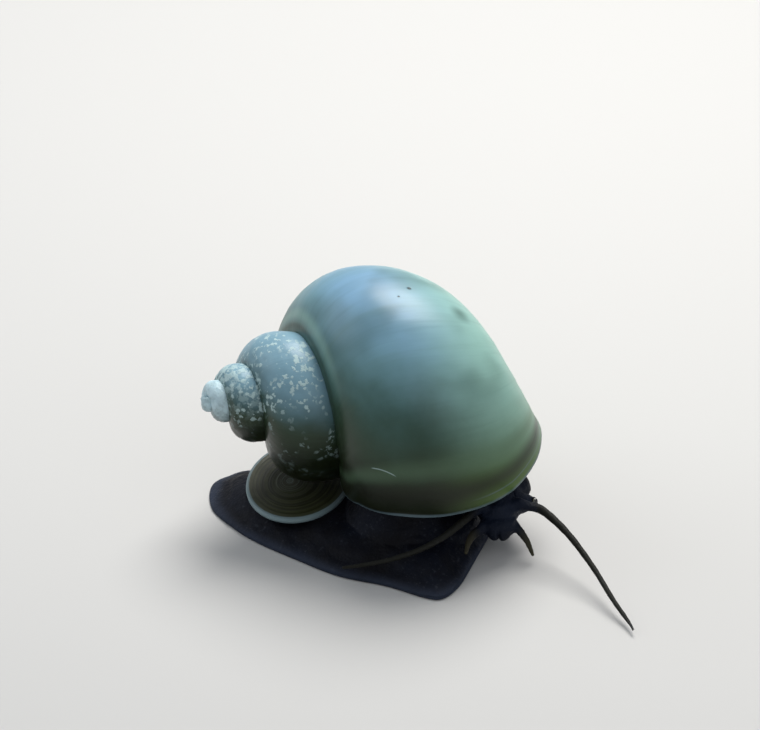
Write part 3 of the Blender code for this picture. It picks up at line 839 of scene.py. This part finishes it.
def drop_crumbs(bm):
    """Delete all loose bits but the largest."""
    waiting = set(bm.verts)
    parts = []
    while waiting:
        reached = {waiting.pop()}
        part = set()
        while reached:
            part |= reached
            reached = {edge.other_vert(vertex) for vertex in reached for edge in vertex.link_edges}
            reached &= waiting
            waiting -= reached
        parts.append(part)
    parts.sort(key=len)
    for part in parts[:-1]:
        bmesh.ops.delete(bm, geom=list(part), context="VERTS")


def build_skin(settings, eye_radius, collection):
    """All the soft body as one closed skin."""
    skin = build_trunk(settings, collection)
    head = build_head(settings, collection)
    foot = build_foot(collection)
    others = [build_feeler(*feeler, collection) for feeler in FEELERS]
    others.append(build_tube("siphon", smooth_path(SIPHON, SIPHON_STEPS),
                             smooth_sizes(SIPHON_RADII, SIPHON_STEPS), STALK_FACES, collection,
                             SIPHON_BORE))
    others += [build_eye_stalk(side, sign, collection) for side, sign in EYE_SIDES]
    others += [head, foot]
    number_bodies([skin, *others])
    combine(skin, others, "UNION", collection)
    with edited(skin.data) as bm:
        mark_feelers(bm)
        ease_seams(bm)
        wrinkle(bm, settings)
        bmesh.ops.triangulate(bm, faces=[face for face in bm.faces if len(face.verts) > 4])
        for face in bm.faces:
            face.material_index = 0
    cut_sockets(skin, eye_radius, collection)
    with edited(skin.data) as bm:
        drop_crumbs(bm)
    skin.data.materials.clear()
    skin.data.shade_smooth()
    skin.name = "body_skin"
    skin.data.name = "body_skin"
    return skin


def build_eye(side, sign, settings, collection):
    """One eyeball, with its angle from the way that it looks stored on every point."""
    bm = bmesh.new()
    add_eyeball(bm, sign, settings.radius)
    middle = to_world(eye_place(sign))
    polar = bm.verts.layers.float.new("polar")
    for vertex in bm.verts:
        outward = vertex.co - middle
        angle = math.degrees(outward.angle(eye_look(sign)))
        vertex[polar] = angle
        bulge = settings.cornea * smooth_step((CORNEA_EDGE - angle) / CORNEA_EDGE)
        vertex.co += outward.normalized() * bulge
    return finish_mesh(bm, "eyeball_" + side, collection)


class Tap:
    """A number that varies over a surface: Python's operators on it add Math nodes."""

    def __init__(self, surface, socket):
        self.surface = surface
        self.socket = socket

    def __add__(self, other):
        return self.surface.math("ADD", self, other)

    def __radd__(self, other):
        return self.surface.math("ADD", other, self)

    def __sub__(self, other):
        return self.surface.math("SUBTRACT", self, other)

    def __rsub__(self, other):
        return self.surface.math("SUBTRACT", other, self)

    def __mul__(self, other):
        return self.surface.math("MULTIPLY", self, other)

    def __truediv__(self, other):
        return self.surface.math("DIVIDE", self, other)

    def step(self, low, high):
        """0 at low, 1 at high and an easy curve between."""
        node = self.surface.node("ShaderNodeMapRange", {"interpolation_type": "SMOOTHSTEP"},
                                 {"Value": self, "From Min": low, "From Max": high})
        return Tap(self.surface, node.outputs["Result"])

    def band(self, middle, half_width):
        """1 at the middle, fading to 0 half a width away on both sides."""
        away = self.surface.math("ABSOLUTE", self - middle)
        return 1.0 - away.step(0.0, half_width)


class Surface:
    """One material's nodes, and the colour painted so far."""

    def __init__(self, name):
        self.material = bpy.data.materials.new(name)
        self.material.use_nodes = True
        self.tree = self.material.node_tree
        self.shader = self.tree.nodes["Principled BSDF"]
        here = self.node("ShaderNodeTexCoord")
        self.place = here.outputs["Object"]
        self.facing = here.outputs["Normal"]
        self.colour = None

    def node(self, kind, settings=None, sockets=None):
        """Add a node: first its settings, then the values or links of its sockets."""
        node = self.tree.nodes.new(kind)
        for name, value in (settings or {}).items():
            if name == "stops":
                ramp = node.color_ramp
                ramp.interpolation = "B_SPLINE"
                while len(ramp.elements) < len(value):
                    ramp.elements.new(1.0)
                for element, (position, colour) in zip(ramp.elements, value):
                    element.position = position
                    element.color = (*colour, 1.0)
            else:
                setattr(node, name, value)
        for name, value in (sockets or {}).items():
            self.feed(node.inputs[name], value)
        return node

    def feed(self, socket, value):
        """Set a socket's value, or link what varies to it."""
        if isinstance(value, Tap):
            value = value.socket
        if isinstance(value, bpy.types.NodeSocket):
            self.tree.links.new(value, socket)
        elif socket.type == "RGBA":
            socket.default_value = (*value[:3], 1.0)
        else:
            socket.default_value = value

    def math(self, operation, first, second=0.0):
        """A number made from one or two others."""
        node = self.node("ShaderNodeMath", {"operation": operation}, {0: first, 1: second})
        return Tap(self, node.outputs[0])

    def mix(self, share, first, second):
        """Colour between two colours."""
        node = self.node("ShaderNodeMix", {"data_type": "RGBA"}, {0: share, 6: first, 7: second})
        return node.outputs[2]

    def lay(self, share, colour):
        """Paint a colour over what is there, where the share is above 0."""
        self.colour = self.mix(share, self.colour, colour)

    def noise(self, scale, detail=2.0, roughness=0.5, place=None):
        """Cloudy pattern, from 0 to 1, with so many features a metre."""
        sockets = {"Vector": place or self.place, "Scale": scale, "Detail": detail,
                   "Roughness": roughness}
        return Tap(self, self.node("ShaderNodeTexNoise", None, sockets).outputs["Fac"])

    def cells(self, scale, place):
        """Distance to the nearest of scattered points, in shares of their spacing."""
        node = self.node("ShaderNodeTexVoronoi", None, {"Vector": place, "Scale": scale})
        return Tap(self, node.outputs["Distance"])

    def stirred(self, scale, amount):
        """The place on the surface, pushed about by clouds by up to half an amount in metres."""
        cloud = self.node("ShaderNodeTexNoise", None, {"Vector": self.place, "Scale": scale})
        centred = self.node("ShaderNodeVectorMath", {"operation": "SUBTRACT"},
                            {0: cloud.outputs["Color"], 1: (0.5, 0.5, 0.5)})
        pushed = self.node("ShaderNodeVectorMath", {"operation": "MULTIPLY_ADD"},
                           {0: centred.outputs["Vector"], 1: (amount,) * 3, 2: self.place})
        return pushed.outputs["Vector"]

    def spot(self, point, inner, outer):
        """1 within the inner distance of a fixed point, fading to 0 at the outer one."""
        node = self.node("ShaderNodeVectorMath", {"operation": "DISTANCE"},
                         {0: self.place, 1: point})
        return 1.0 - Tap(self, node.outputs["Value"]).step(inner, outer)

    def split(self, vector):
        """The three parts of a vector."""
        node = self.node("ShaderNodeSeparateXYZ", None, {"Vector": vector})
        return [Tap(self, output) for output in node.outputs]

    def join(self, x, y, z):
        """A vector from its parts."""
        node = self.node("ShaderNodeCombineXYZ", None, {"X": x, "Y": y, "Z": z})
        return node.outputs["Vector"]

    def ramp(self, share, stops):
        """Colour picked along a row of stops."""
        return self.node("ShaderNodeValToRGB", {"stops": stops}, {"Fac": share}).outputs["Color"]

    def attribute(self, name):
        """A number stored on the points of the mesh."""
        node = self.node("ShaderNodeAttribute", {"attribute_name": name})
        return Tap(self, node.outputs["Fac"])

    def bump(self, height, distance):
        """Raise the surface by a height from 0 to 1 times a distance in metres."""
        node = self.node("ShaderNodeBump", None, {"Height": height, "Distance": distance})
        self.feed(self.shader.inputs["Normal"], node.outputs["Normal"])

    def set(self, **values):
        """Set or link the shader's own sockets, whose names are written with low lines."""
        for name, value in values.items():
            socket = name.replace("_", " ").title().replace("Ior", "IOR")
            self.feed(self.shader.inputs[socket], value)


def paint_growth(look, settings, level, around, turn, streaks, baseward, small_cloud):
    """Pale green newest shell with a painted sheen, darker low down with painted shade, streaks and
    patches along the growth, and bands across it.
    """
    # The pale green of the newest shell is partly its own colour and partly a painted sheen of the
    # sky at a grazing angle. It leaves out the side of the tube that faces the axis.
    inner = around.step(0.42, 0.60) * (1.0 - around.step(0.72, 0.80))
    fresh_and_sheen = baseward.step(-0.16, 0.42) * (1.0 - inner) * turn.step(*FRESH_STRETCH)
    # Painted shade: the pale green turns to the darker low green where the level falls toward the
    # underside.
    green = look.mix(level.step(0.35, 0.72), settings.fresh_low, settings.fresh_and_sheen)
    look.lay(fresh_and_sheen * (0.76 + small_cloud * 0.2), green)
    look.lay((streaks - 0.5).step(0.0, 0.25) * level.step(0.3, 0.7) * 0.18, settings.streak)
    look.lay((0.5 - streaks).step(0.0, 0.25) * 0.13, settings.side)
    # Dark patches, high on the shell only.
    patches = look.noise(95.0, 2.0).step(0.46, 0.70) * level.step(0.6, 0.75)
    look.lay(patches * 0.40, settings.side)
    # A pale and a dark growth band, low on the shell only, then the strip by the suture and a dark
    # line of painted shade in the suture's groove.
    low = 1.0 - level.step(0.52, 0.66)
    look.lay(turn.band(*PALE_BAND) * low * 0.42, settings.streak)
    look.lay(turn.band(*DARK_BAND) * low * 0.75, settings.base)
    strip = around.band(*SHOULDER_STRIP) * level.step(0.55, 0.75) * turn.step(*STRIP_STRETCH)
    look.lay(strip * 0.35, settings.fresh_and_sheen)
    look.lay(around.band(*SUTURE_SHADE) * 0.5, settings.flank)


def paint_spire(look, settings, level, stirred_level, turn):
    """Blue-grey older whorls, lighter on top with painted light, with chalky flecks and a white
    tip. Returns where they are worn.
    """
    spire = 1.0 - turn.step(*SPIRE_END)
    # The blue-grey goes only where the level is high: partly the older whorls' own colour, partly
    # painted light on their upper side.
    look.lay(spire * stirred_level.step(0.44, 0.76) * 0.7, settings.spire)
    # Flecks: round dots and ragged crusts that gather in zones, and dense crusts on older whorls.
    zone = look.noise(230.0, 2.0)
    spots = look.cells(820.0, look.stirred(1500.0, 0.0011))
    dots = (1.0 - spots.step(0.20, 0.32)) * zone.step(0.38, 0.52)
    crusts = look.noise(1200.0, 3.0, 0.6).step(0.55, 0.61) * zone.step(0.46, 0.58)
    wear = look.math("MAXIMUM", dots, crusts) * (1.0 - turn.step(*FLECKS_END))
    older = 1.0 - turn.step(*OLDER_END)
    dense = look.noise(1300.0, 3.0, 0.6).step(0.47, 0.56) * older * zone.step(0.28, 0.44)
    wear = look.math("MAXIMUM", wear, dense) * (0.28 + level.step(0.34, 0.64) * 0.58)
    look.lay(wear, settings.worn)
    blotch = look.noise(900.0, 3.0, 0.6).step(0.3, 0.7)
    look.lay((1.0 - turn.step(*TIP_END)) * (0.55 + blotch * 0.35), settings.tip)
    return wear


def paint_marks(look, settings, around, turn):
    """Worn pits, a bruise, a scratch and the pale line of the lip. Returns where the pits are."""
    pits = look.math("MAXIMUM", *[
        look.spot(shell_point(360.0 * at, 360.0 * side, 0.0), radius * 0.4, radius)
        for at, side, radius in SHELL_PITS])
    look.lay(pits * 0.8, settings.base)
    at, side, radius = SHELL_BRUISE
    bruise = look.spot(shell_point(360.0 * at, 360.0 * side, 0.0), 0.0, radius)
    look.lay(bruise * 0.55, settings.side)
    at, side, length, slope, bend, half_width = SHELL_SCRATCH
    run = around - side
    line = turn - at - run * slope - run * run * bend
    begun = around.step(side - SCRATCH_BEGIN, side + SCRATCH_BEGIN)
    ended = around.step(side + length - SCRATCH_FADE, side + length)
    look.lay(line.band(0.0, half_width) * begun * (1.0 - ended) * 0.6, settings.worn)
    # Pale lines: the lip's own edge, and a short one behind it where growth once rested.
    rest = turn.band(*REST_BAND) * around.step(0.02, 0.10) * (1.0 - around.step(0.30, 0.40))
    look.lay(look.math("MAXIMUM", turn.step(*LIP_LINE), rest * 0.6) * 0.8, settings.lip_line)
    return pits


def shell_finish(settings):
    """Blue crown, green flanks and olive base, with painted shade that darkens it toward the
    underside, a painted sheen on the newest shell, growth bands, worn flecks and a pale lip.
    """
    look = Surface("shell_finish")
    # Turns round the tube, from its outermost side by way of the base, and turns of growth.
    uv = look.node("ShaderNodeUVMap", {"uv_map": "growth"})
    around, turn, _ = look.split(uv.outputs["UV"])
    height = (look.split(look.place)[2] - SHELL_LOW.z) / (SHELL_HIGH.z - SHELL_LOW.z)
    upward = look.split(look.facing)[2]
    cloud = look.noise(110.0, 3.0)
    small_cloud = look.noise(330.0, 3.0)
    # From 0 on the underside to 1 on top: half by height, and half by the way the surface faces.
    # The ramp on it holds the shell's own blue-to-olive colours and also painted shade, darker
    # where the surface lies low or faces down.
    level = height * 0.5 + upward * 0.25 + 0.25
    stirred_level = level + (cloud - 0.5) * 0.20 + (small_cloud - 0.5) * 0.06
    look.colour = look.ramp(stirred_level, (
        (0.30, settings.base), (0.46, settings.flank), (0.64, settings.side),
        (0.80, settings.shoulder), (0.96, settings.crown)))
    angle = around * (2.0 * math.pi)
    outward = look.math("COSINE", angle) * 0.45
    baseward = look.math("SINE", angle) * 0.45
    streaks = look.noise(1.0, 4.0, 0.6, look.join(outward, turn * 60.0, baseward))
    paint_growth(look, settings, level, around, turn, streaks, baseward, small_cloud)
    wear = paint_spire(look, settings, level, stirred_level, turn)
    pits = paint_marks(look, settings, around, turn)
    lines = look.noise(1.0, 2.0, 0.5, look.join(outward * 2.0, turn * 190.0, baseward * 2.0))
    look.set(base_color=look.colour, roughness=0.36 + wear * 0.3 + (small_cloud - 0.5) * 0.14,
             metallic=0.0, specular_ior_level=0.28, coat_weight=0.10, coat_roughness=0.24)
    look.bump(lines * 0.5 + streaks * 0.35 + wear * 0.8 - pits * 2.0, settings.line_depth)
    return look.material


def lid_finish(settings):
    """Olive-brown horn with fine rings and a pale edge."""
    look = Surface("lid_finish")
    # From 0 at the edge to 1 at the middle of growth.
    ring = look.attribute("ring")
    cloud = look.noise(260.0, 3.0)
    rings = look.noise(1.0, 3.0, 0.6, look.join(ring * 38.0, cloud * 0.8, 0.0))
    look.colour = look.mix(rings.step(0.38, 0.64), settings.dark, settings.light)
    look.lay(cloud.step(0.4, 0.75) * 0.5, settings.dark)
    look.lay(ring.step(0.55, 0.9) * rings.step(0.50, 0.66) * 0.27, settings.rim)
    look.lay(ring.band(0.11, 0.035) * 0.6, settings.light)
    look.lay((1.0 - ring.step(0.055, 0.085)) * 0.9, settings.rim)
    look.set(base_color=look.colour, roughness=0.48 + (cloud - 0.5) * 0.2, metallic=0.0,
             specular_ior_level=0.3, coat_weight=0.05)
    look.bump(rings, settings.ring_depth)
    return look.material


def skin_finish(settings):
    """Moist blue-black skin with bluish patches and a bluer head, both partly painted sheen, fine
    bumps, specks, a lit hem and olive feelers.
    """
    look = Surface("skin_finish")
    height = look.split(look.place)[2]
    cloud = look.noise(180.0, 3.0)
    grain = look.cells(2600.0, look.stirred(1800.0, 0.0004))
    fine = look.noise(1600.0, 3.0)
    specks = look.noise(2100.0, 2.0).step(0.60, 0.70)
    # Bluish patches in random clouds: partly the skin's own tone and partly a painted sheen.
    look.colour = look.mix(cloud.step(0.3, 0.75), settings.dark, settings.blue)
    look.lay(specks * cloud.step(0.35, 0.6) * 0.45, settings.speck)
    # The head: partly its own bluer colour and partly a painted sheen where its top catches the
    # light.
    look.lay(look.spot(to_world(HEAD_MIDDLE), 0.003, 0.007) * 0.8, settings.face)
    # The foot's edge catches the light just above the ground.
    hem = (1.0 - height.step(0.0005, 0.0014)) * height.step(0.0, 0.0002)
    look.lay(hem * (0.35 + cloud * 0.5), settings.hem)
    look.lay(look.attribute("feeler") * (0.35 + cloud * 0.4), settings.feeler)
    look.lay(look.attribute("palp") * 0.8, settings.palp)
    look.set(base_color=look.colour, roughness=0.46 + grain * 0.14 + cloud * 0.1, metallic=0.0,
             specular_ior_level=0.13)
    look.bump((1.0 - grain) * 0.6 + fine * 0.5, settings.grain_depth)
    return look.material


def eye_finish(settings):
    """Black pupil, pale ring and dark surround under a clear coat."""
    look = Surface("eye_finish")
    threads = look.noise(5200.0, 2.0)
    ring = look.attribute("polar").band(*EYE_RING) * (0.35 + threads * 0.8)
    look.set(base_color=look.mix(ring, settings.dark, settings.ring), roughness=0.12 + ring * 0.2,
             metallic=0.0, coat_weight=0.6, coat_roughness=0.05)
    look.bump(threads * ring, settings.thread_depth)
    return look.material


def floor_finish(settings):
    """Plain pale floor."""
    look = Surface("floor_finish")
    cloud = look.noise(9.0, 3.0)
    look.set(base_color=look.mix(cloud * 0.12, settings.floor, settings.floor_shade),
             roughness=0.6 + cloud * 0.1, metallic=0.0)
    return look.material


def colour_of(name, text, value):
    """A colour setting."""
    return FloatVectorProperty(name=name, description=text, subtype="COLOR", size=3, min=0.0,
                               max=1.0, default=value)


def length_of(name, text, value):
    """A length setting in metres."""
    return FloatProperty(name=name, description=text, default=value, min=0.0, precision=5,
                         subtype="DISTANCE", unit="LENGTH")


def power_of(name, text, value):
    """A light's power in watts."""
    return FloatProperty(name=name, description=text, default=value, min=0.0, unit="POWER")


class ShellSettings(bpy.types.PropertyGroup):
    """Sizes and colours of the shell."""

    sides: IntProperty(name="Sides", description="Faces round the tube", default=120, min=24,
                       max=160)
    wall: length_of("Wall", "Thickness of the wall inside the mouth", 0.00095)
    lip: length_of("Lip", "Thickness of the lip's edge", 0.00055)
    swell: length_of("Swell", "Height of the slow swells", 0.00011)
    ridge: length_of("Ridge", "Height of the growth ridges", 0.00005)
    pit: length_of("Pit", "Depth of the worn pits on the spire", 0.00005)
    line_depth: length_of("Line depth", "Depth of the fine growth lines", 0.000035)
    # From crown to base these colours hold the shell's own tints and also painted shade, darker
    # toward the underside.
    crown: colour_of("Crown", "Colour of the top", (0.200, 0.370, 0.530))
    shoulder: colour_of("Shoulder", "Colour below the top", (0.160, 0.325, 0.355))
    side: colour_of("Side", "Colour half way down", (0.036, 0.085, 0.062))
    flank: colour_of("Flank", "Colour low on the side", (0.018, 0.038, 0.014))
    base: colour_of("Base", "Colour of the underside", (0.006, 0.008, 0.002))
    # Pale green of the newest shell, made lighter by a painted sheen.
    fresh_and_sheen: colour_of("Fresh", "Pale green of the newest shell", (0.350, 0.600, 0.515))
    # Darker green for the painted shade low on the newest shell.
    fresh_low: colour_of("Fresh, low", "Green low on the newest shell", (0.085, 0.165, 0.030))
    streak: colour_of("Streak", "Lighter growth bands", (0.105, 0.190, 0.110))
    spire: colour_of("Spire", "Blue-grey of the older whorls", (0.235, 0.405, 0.515))
    worn: colour_of("Worn", "Chalky white of the worn flecks", (0.480, 0.640, 0.640))
    tip: colour_of("Tip", "Bluish white of the oldest whorl", (0.600, 0.790, 0.860))
    lip_line: colour_of("Lip line", "Pale line along the lip", (0.120, 0.175, 0.205))


class LidSettings(bpy.types.PropertyGroup):
    """Sizes and colours of the lid."""

    thickness: length_of("Thickness", "Thickness of the plate", 0.0008)
    offset: length_of("Offset", "How far the middle of growth lies off the centre", 0.0013)
    dish: length_of("Dish", "How deep its top is dished", 0.00018)
    ridge: length_of("Ridge", "Height of the growth rings", 0.00006)
    ring_depth: length_of("Ring depth", "Depth of the fine rings", 0.00004)
    dark: colour_of("Dark", "Dark rings", (0.014, 0.016, 0.005))
    light: colour_of("Light", "Light rings", (0.052, 0.058, 0.022))
    rim: colour_of("Rim", "Pale edge", (0.190, 0.265, 0.285))


class SkinSettings(bpy.types.PropertyGroup):
    """Sizes and colours of the skin."""

    trunk_voxel: length_of("Trunk mesh", "Face size of the stalk and mantle", 0.00028)
    head_voxel: length_of("Head mesh", "Face size of the head", 0.00014)
    fold: length_of("Fold", "Height of the long folds", 0.00013)
    bump: length_of("Bump", "Height of the small bumps", 0.00006)
    grain_depth: length_of("Grain depth", "Depth of the skin's grain", 0.00008)
    dark: colour_of("Dark", "Main colour", (0.0028, 0.0028, 0.0045))
    # Bluish patches: partly the skin's own tone and partly a painted sheen.
    blue: colour_of("Blue", "Bluish patches", (0.0052, 0.0075, 0.0150))
    face: colour_of("Face", "Bluish sheen of the head", (0.0090, 0.0150, 0.0310))
    speck: colour_of("Speck", "Paler specks", (0.040, 0.046, 0.058))
    hem: colour_of("Hem", "Edge of the foot", (0.036, 0.047, 0.076))
    feeler: colour_of("Feeler", "Olive-grey of the feelers", (0.024, 0.024, 0.015))
    palp: colour_of("Palp", "Tips of the short feelers", (0.052, 0.047, 0.028))


class EyeSettings(bpy.types.PropertyGroup):
    """Sizes and colours of the eyes."""

    radius: length_of("Radius", "Radius of an eyeball", 0.0005)
    cornea: length_of("Cornea", "How far the clear front stands out", 0.00004)
    dark: colour_of("Dark", "Pupil and surround", (0.006, 0.006, 0.008))
    ring: colour_of("Ring", "Pale ring round the pupil", (0.36, 0.36, 0.29))
    thread_depth: length_of("Thread depth", "Depth of the threads in the ring", 0.00002)


class StageSettings(bpy.types.PropertyGroup):
    """The floor and the light."""

    radius: length_of("Floor radius", "Radius of the floor", 3.0)
    floor: colour_of("Floor", "Colour of the floor", (0.60, 0.595, 0.58))
    floor_shade: colour_of("Floor shade", "Colour of its faint clouds", (0.50, 0.495, 0.48))
    sky: colour_of("Sky", "Colour of the light all round", (0.80, 0.84, 0.90))
    sky_strength: FloatProperty(name="Sky strength", description="Light from all round",
                                default=0.42, min=0.0)
    key: power_of("Key", "Power of the main light", 1.5)
    fill: power_of("Fill", "Power of the light on the right", 0.22)
    side: power_of("Side", "Power of the light on the left", 0.30)


SETTINGS = (("snail_shell", ShellSettings), ("snail_lid", LidSettings),
            ("snail_skin", SkinSettings), ("snail_eye", EyeSettings),
            ("snail_stage", StageSettings))


def dress(piece, material, slot, *nodes):
    """Give a piece its finish, set it in place of its solids, and let it ride on the body."""
    piece.data.materials.append(material)
    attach(piece, "root")
    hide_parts(*nodes)


class SNAIL_OT_shell(bpy.types.Operator):
    """Build the coiled shell"""

    bl_idname = "snail.shell"
    bl_label = "Shell"

    def execute(self, context):
        settings = context.scene.snail_shell
        shell = build_shell(settings, context.scene.collection)
        dress(shell, shell_finish(settings), "shell", "shell")
        return {"FINISHED"}


class SNAIL_OT_lid(bpy.types.Operator):
    """Build the horny lid on the tail"""

    bl_idname = "snail.lid"
    bl_label = "Lid"

    def execute(self, context):
        settings = context.scene.snail_lid
        lid = build_lid(settings, context.scene.collection)
        dress(lid, lid_finish(settings), "operculum", "operculum")
        return {"FINISHED"}


class SNAIL_OT_skin(bpy.types.Operator):
    """Build the soft body as one skin"""

    bl_idname = "snail.skin"
    bl_label = "Skin"

    def execute(self, context):
        settings = context.scene.snail_skin
        skin = build_skin(settings, context.scene.snail_eye.radius, context.scene.collection)
        dress(skin, skin_finish(settings), "skin", *FLESH_NODES)
        return {"FINISHED"}


class SNAIL_OT_eyes(bpy.types.Operator):
    """Build the two eyes"""

    bl_idname = "snail.eyes"
    bl_label = "Eyes"

    def execute(self, context):
        settings = context.scene.snail_eye
        material = eye_finish(settings)
        for side, sign in EYE_SIDES:
            eye = build_eye(side, sign, settings, context.scene.collection)
            dress(eye, material, "eye", "eye_" + side)
        return {"FINISHED"}


def add_light(name, place, size, power, colour, collection):
    """A round soft light that faces the shell."""
    light = bpy.data.lights.new(name, "AREA")
    light.shape = "DISK"
    light.size = size
    light.energy = power
    light.color = colour
    holder = bpy.data.objects.new(name, light)
    holder.location = place
    holder.rotation_euler = (LIGHT_AIM - Vector(place)).to_track_quat("-Z", "Y").to_euler()
    collection.objects.link(holder)


def add_camera(collection):
    """The camera, at the photograph's angle and framing."""
    azimuth = math.radians(VIEW_AZIMUTH)
    elevation = math.radians(VIEW_ELEVATION)
    level = math.cos(elevation)
    ahead = Vector((-math.sin(azimuth) * level, math.cos(azimuth) * level, -math.sin(elevation)))
    camera_data = bpy.data.cameras.new("camera")
    camera_data.sensor_width = SENSOR_WIDTH
    camera_data.lens = SENSOR_WIDTH * VIEW_DISTANCE / VIEW_WIDTH
    camera_data.clip_start = 0.01
    camera = bpy.data.objects.new("camera", camera_data)
    camera.location = to_world(VIEW_CENTRE) - ahead * VIEW_DISTANCE
    camera.rotation_euler = ahead.to_track_quat("-Z", "Y").to_euler()
    collection.objects.link(camera)
    return camera


class SNAIL_OT_stage(bpy.types.Operator):
    """Build the floor, the lights and the camera"""

    bl_idname = "snail.stage"
    bl_label = "Floor, light and camera"

    def execute(self, context):
        settings = context.scene.snail_stage
        collection = context.scene.collection
        bm = bmesh.new()
        bmesh.ops.create_circle(bm, cap_ends=True, radius=settings.radius,
                               segments=FLOOR_SIDES)
        floor = finish_mesh(bm, "floor", collection)
        floor.data.materials.append(floor_finish(settings))

        world = bpy.data.worlds.new("studio")
        world.use_nodes = True
        background = world.node_tree.nodes["Background"]
        background.inputs["Color"].default_value = (*settings.sky, 1.0)
        background.inputs["Strength"].default_value = settings.sky_strength
        context.scene.world = world
        for name, place, size, colour in LIGHTS:
            add_light(name + " light", place, size, getattr(settings, name), colour, collection)
        context.scene.view_settings.view_transform = "Standard"
        context.scene.camera = add_camera(collection)
        return {"FINISHED"}


OPERATORS = (SNAIL_OT_shell, SNAIL_OT_lid, SNAIL_OT_skin, SNAIL_OT_eyes, SNAIL_OT_stage)


class SNAIL_PT_sidebar(bpy.types.Panel):
    """Buttons for each part of the snail"""

    bl_label = "Apple Snail"
    bl_idname = "SNAIL_PT_sidebar"
    bl_space_type = "VIEW_3D"
    bl_region_type = "UI"
    bl_category = "Snail"

    def draw(self, context):
        for operator in OPERATORS:
            self.layout.operator(operator.bl_idname)
        for name, group in SETTINGS:
            box = self.layout.box()
            for field in group.__annotations__:
                box.prop(getattr(context.scene, name), field)


def register():
    """Add the settings, the operators and the panel."""
    for name, group in SETTINGS:
        bpy.utils.register_class(group)
        setattr(bpy.types.Scene, name, PointerProperty(type=group))
    for item in (*OPERATORS, SNAIL_PT_sidebar):
        bpy.utils.register_class(item)


def unregister():
    """Take them away again."""
    for item in (SNAIL_PT_sidebar, *reversed(OPERATORS)):
        bpy.utils.unregister_class(item)
    for name, group in reversed(SETTINGS):
        delattr(bpy.types.Scene, name)
        bpy.utils.unregister_class(group)


def main():
    """Build everything in order."""
    register()
    bpy.ops.snail.shell()
    bpy.ops.snail.lid()
    bpy.ops.snail.skin()
    bpy.ops.snail.eyes()
    bpy.ops.snail.stage()


if __name__ == "__main__":
    main()
